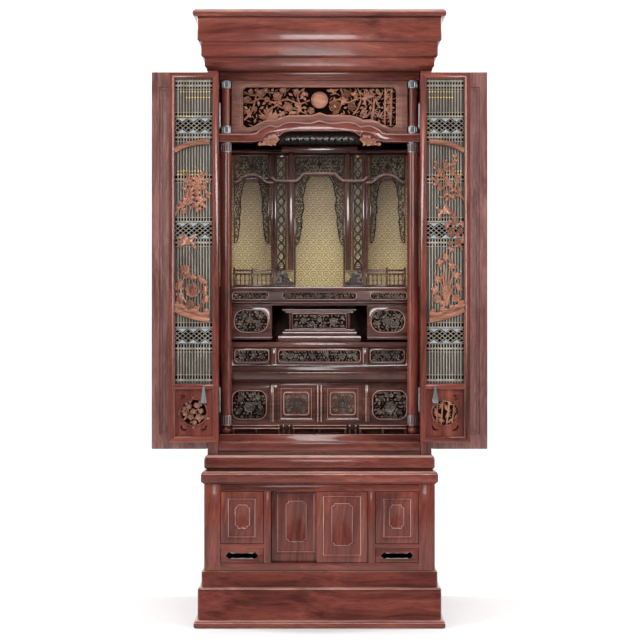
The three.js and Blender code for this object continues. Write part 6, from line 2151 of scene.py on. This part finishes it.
small_drawer("small_drawer_left", -248, -143, 61, [("peony", -222, 757, 9), ("plum", -190, 760, 7),
                                                   ("chrysanthemum", -166, 756, 8)])
small_drawer("small_drawer_right", 143, 248, 62, [("peony", 222, 757, 9), ("plum", 190, 760, 7),
                                                  ("chrysanthemum", 166, 756, 8)])
small_drawer("small_drawer_middle", -122, 122, 63, [
    ("peony", -84, 757, 9), ("chrysanthemum", -20, 757, 9), ("plum", 20, 762, 7), ("peony", 64, 756, 10),
    ("plum", 100, 760, 7),
    ("plum", -52, 752, 6)])
for side in (-1, 1):
    stile = box_piece("drawer_stile", side * 132.5 - 9, side * 132.5 + 9, -133.4, -122, 733, 781.5, 2.6, 3)
    stile.name = "drawer_stile_" + ("left" if side < 0 else "right")
    wooden(stile, "inner_wood", "z")
    # The bead is painted pale, a painted highlight.
    bead = box_piece(stile.name + "_bead", side * 126.5 - 1.5, side * 126.5 + 1.5, -134.6, -132, 734, 781,
                     1.2, 3)
    keep(bead, "cabinet", "inner_wood", woods["pale_edge", "z"])
print("small drawers: 3")

# %% [markdown]
# The lowest row has a square carved panel at each side and two framed panels in the middle, between upright
# stiles whose rounded faces catch the light. Beads on the stiles and rails and the rims of the middle panels are
# painted pale, a painted highlight. Low double rails with ball ends stand in front.

# %% Low cabinet
side_field = rounded_oblong(-250, -155, 577, 656, 22, 7)
fields = [(side_field, 7, 2.2), ([(-x, z) for x, z in reversed(side_field)], 7, 2.2)]
pieces = [sunk_board("low_front", -284.6, 284.6, -137, -118, 528.4, 682.6, fields, 0.6)]
for x0, x1 in ((-122.5, -11.5), (11.5, 122.5)):
    frame_profile = ((0, -136), (0, -139), (1.2, -140), (7.5, -140), (8.6, -139.2), (9, -138), (16, -135.2),
                     (17.4, -137.4), (19, -137.4),
                     (20, -136), (20, -134))
    ring = mitred("framed_panel", x0, x1, 566, 674, frame_profile, "inner_wood")
    pieces.append(ring)
for x0, x1, edge in ((-146, -131, 2.6), (131, 146, 2.6), (-8.5, -1.2, 2.4), (1.2, 8.5, 2.4)):
    pieces.append(box_piece("stile", x0, x1, -140.5, -132, 566, 676, edge, 3))
# Beads painted pale, a painted highlight on the stiles and the low rails.
bright = []
for x in (-134, -5, 5, 134):
    bright.append(box_piece("stile_bead", x - 1.5, x + 1.5, -141.8, -139.6, 567, 675, 1.2, 3))
for a, b in ((-251, -113), (-78, 78), (113, 251)):
    bright.append(box_piece("low_rail_bead", a + 1, b - 1, -158.4, -156.6, 548.6, 551.4, 1.2, 3))
    bright.append(box_piece("low_rail_bead", a + 1, b - 1, -158.4, -156.6, 557, 559.6, 1.2, 3))
    pieces.append(box_piece("low_rail", a, b, -157.5, -148, 547.5, 553, 1.5, 2))
    pieces.append(box_piece("low_rail", a, b, -157.5, -148, 555.5, 560.5, 1.5, 2))
    for x in (a + 4, b - 4, (a + b) / 2):
        pieces.append(box_piece("low_post", x - 3.5, x + 3.5, -155.5, -137, 528.5, 556, 0.8, 2))
for x in (-104, -87, 87, 104):
    profile = [(0, 529), (3.4, 529), (3.4, 546), (2.2, 548), (3, 550), (5.6, 553), (6.4, 556.5), (5, 560),
               (2, 561.8), (1.6, 563.2), (0, 564)]
    pieces.append(spun("ball_post", [(r * MM, h * MM) for r, h in profile], 14, (x * MM, -151 * MM)))
    pieces.append(box_piece("ball_foot", x - 2, x + 2, -150, -137, 528.5, 540, 0.5, 1))
for x0, x1 in ((-130, -12), (12, 130)):
    pieces.append(mitred("small_panel", x0, x1, 533, 561, ((0, -136), (0, -139), (1.4, -140), (4.6, -140),
                                                           (6, -138.6), (7, -136)), "inner_wood"))
for piece in pieces:
    piece.data.materials.clear()
bright_set = smooth(joined(bright, "low_cabinet_beads"), 40)
keep(bright_set, "cabinet", "inner_wood", woods["pale_edge", "x"])
low = joined(pieces, "low_cabinet_boards")
wooden(smooth(low, 30), "inner_wood")
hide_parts("low_cabinet")
for i, x0 in enumerate((-103, 31)):
    field = rounded_oblong(x0, x0 + 72, 588, 653, 8, 5)
    rim = ring_bead("rim", field, 1.4, -136.6, 1.6)
    frame_line = [(x0 - 8, 578), (x0 + 80, 578), (x0 + 80, 664), (x0 - 8, 664)]
    rim = joined([rim, ring_bead("frame", frame_line, 1.3, -136.6, 2.2)], "rim")
    # The rims are painted pale, a painted highlight.
    keep(rim, "cabinet", "inner_wood", woods["pale_edge", "z"])
    rim.name = ("left", "right")[i] + "_panel_rim"
    work = Carving(("left", "right")[i] + "_panel_carving", 71 + i, flat=0.5)
    foliage(work, within(grown(field, -2)), x0, x0 + 72, 588, 653, 10.5, -137.5,
            ("leaf", "scroll", "blade"), 0.85, 1.2)
    for form, u, z, size in (("chrysanthemum", 36, 622, 14), ("plum", 16, 604, 8), ("plum", 58, 640, 8),
                             ("plum", 56, 602, 7), ("plum", 14, 640, 7)):
        work.stamp(form, x0 + u, z, size, size * 30, -138.5)
    work.done("cabinet", "inner_wood", woods["dark_carved", "x"],
              inside=((x0 + 1, -142.5, 588), (x0 + 71, -136.2, 653)))
for side, side_name in ((-1, "left"), (1, "right")):
    field = side_field if side < 0 else [(-x, z) for x, z in reversed(side_field)]
    middle = side * 202.5
    carved_field("low_side_" + side_name, field, -137, 11, 75 + side, [
        ("peony", middle, 610, 16), ("chrysanthemum", middle - 24, 636, 9), ("plum", middle + 26, 640, 9),
        ("plum", middle - 30, 596, 8),
        ("chrysanthemum", middle + 28, 596, 9), ("plum", middle + 4, 644, 7)], 7,
        kinds=("leaf", "blade", "broad_leaf", "scroll"))
print("low cabinet made")

# %% [markdown]
# The stand's doors are framed boards. A slope runs down from the frame to a sunk field, with a fine bead at its
# foot that is painted pale to show as a white line, a painted highlight, and on the field lies a raised panel with
# scooped corners, ringed by a bead painted the same way.

# %% Doors and drawers of the stand


def framed_door(node, opening, panel, slope=7.0):
    """opening and panel are (left, right, foot, head) insets from the door's own box, in mm."""
    low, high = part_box(node)
    (x0, y0, z0), (x1, y1, z1) = ([c / MM for c in corner] for corner in (low, high))
    x0, x1, y0, z0, z1 = x0 + 0.1, x1 - 0.1, y0 + 0.1, z0 + 0.1, z1 - 0.1
    left, right, foot, head = opening
    line = boxed(x0 + left, x1 - right, z0 + foot, z1 - head)
    board = box_piece(node + "_panelled", x0, x1, y0, y1 - 0.1, z0, z1, 1.2, 3)
    layers = [(grown(line, slope + 1), y0 - 1), (grown(line, slope), y0 + 0.2), (line, y0 + 3.6),
              (line, y0 + 5.2)]
    boolean_cut(board, layered("cutter", layers))
    bead = ring_bead("bead", grown(line, 0.6), 1.7, y0 + 4.6, 3.9)
    a, b, c, d = panel
    scooped = boxed(x0 + a, x1 - b, z0 + c, z1 - d, 8, 4)
    raised = layered("raised", [(scooped, y0 + 5.4), (scooped, y0 + 3.0), (grown(scooped, -2.8), y0 + 0.5),
                                (grown(scooped, -4.4), y0 + 1.3)])
    door = smooth(joined([board, raised], node + "_panelled"), 28)
    field_bead = ring_bead("bead", grown(scooped, -1.0), 1.1, y0 + 3.4, 2.6)
    # Both beads are painted pale, a painted highlight.
    keep(joined([bead, field_bead], node + "_bead"), body_of[node], slot_of[node], woods["pale_edge", "z"])
    return keep(door, body_of[node], slot_of[node], woods[slot_of[node], "z"], node)


framed_door("stand_side_door_left", (22, 24, 19, 21), (40, 38, 42, 36))
framed_door("stand_side_door_right", (24, 22, 19, 21), (38, 40, 42, 36))
framed_door("stand_sliding_door_left", (18, 24, 29, 8), (40, 45, 55, 27))
framed_door("stand_sliding_door_right", (20, 20, 21, 14), (42, 42, 46, 32))

for side in (-1, 1):
    x = side * 217.0
    slot = [(x - 42, 201.5), (x - 38, 207), (x - 31, 208.6), (x - 25, 205.6), (x - 14, 206.8), (x, 206),
            (x + 14, 206.8), (x + 25, 205.6),
            (x + 31, 208.6), (x + 38, 207), (x + 42, 201.5), (x + 38, 195.5), (x + 31, 194), (x + 25, 197),
            (x + 14, 196), (x, 196.6),
            (x - 14, 196), (x - 25, 197), (x - 31, 194), (x - 38, 195.5)]
    side_name = "left" if side < 0 else "right"
    rim = ring_bead(f"stand_drawer_{side_name}_rim", grown(slot, 4.5), 1.6, -283.4, 0.5)
    keep(rim, f"stand_drawer_{side_name}", "rosewood", dark_silver)
posts = [box_piece("post", *sorted((side * a, side * b)), -285.5, -284.6, low, high, 0.35, 2)
         for side in (-1, 1) for a, b, low, high in ((277.8, 322.8, 160.4, 401.8),
                                                     (136.5, 156, 181.5, 381))]
keep(smooth(joined(posts, "stand_posts"), 30), body_of["stand_carcass"], "rosewood", woods["rosewood", "z"])
print("stand: 4 doors and 2 drawer slots")

# %% [markdown]
# A few pieces of the frame need no other form than they have, such as the gold-covered board. They stay as they
# are and get the finish that the record names for them, with upright grain.

# %% Finishes of the pieces that keep their form
for node_name, node in frame["nodes"].items():
    if node.hide_render:
        continue
    material = finishes.get(slot_of[node_name]) or woods[slot_of[node_name], "z"]
    node.data.materials.clear()
    node.data.materials.append(material)
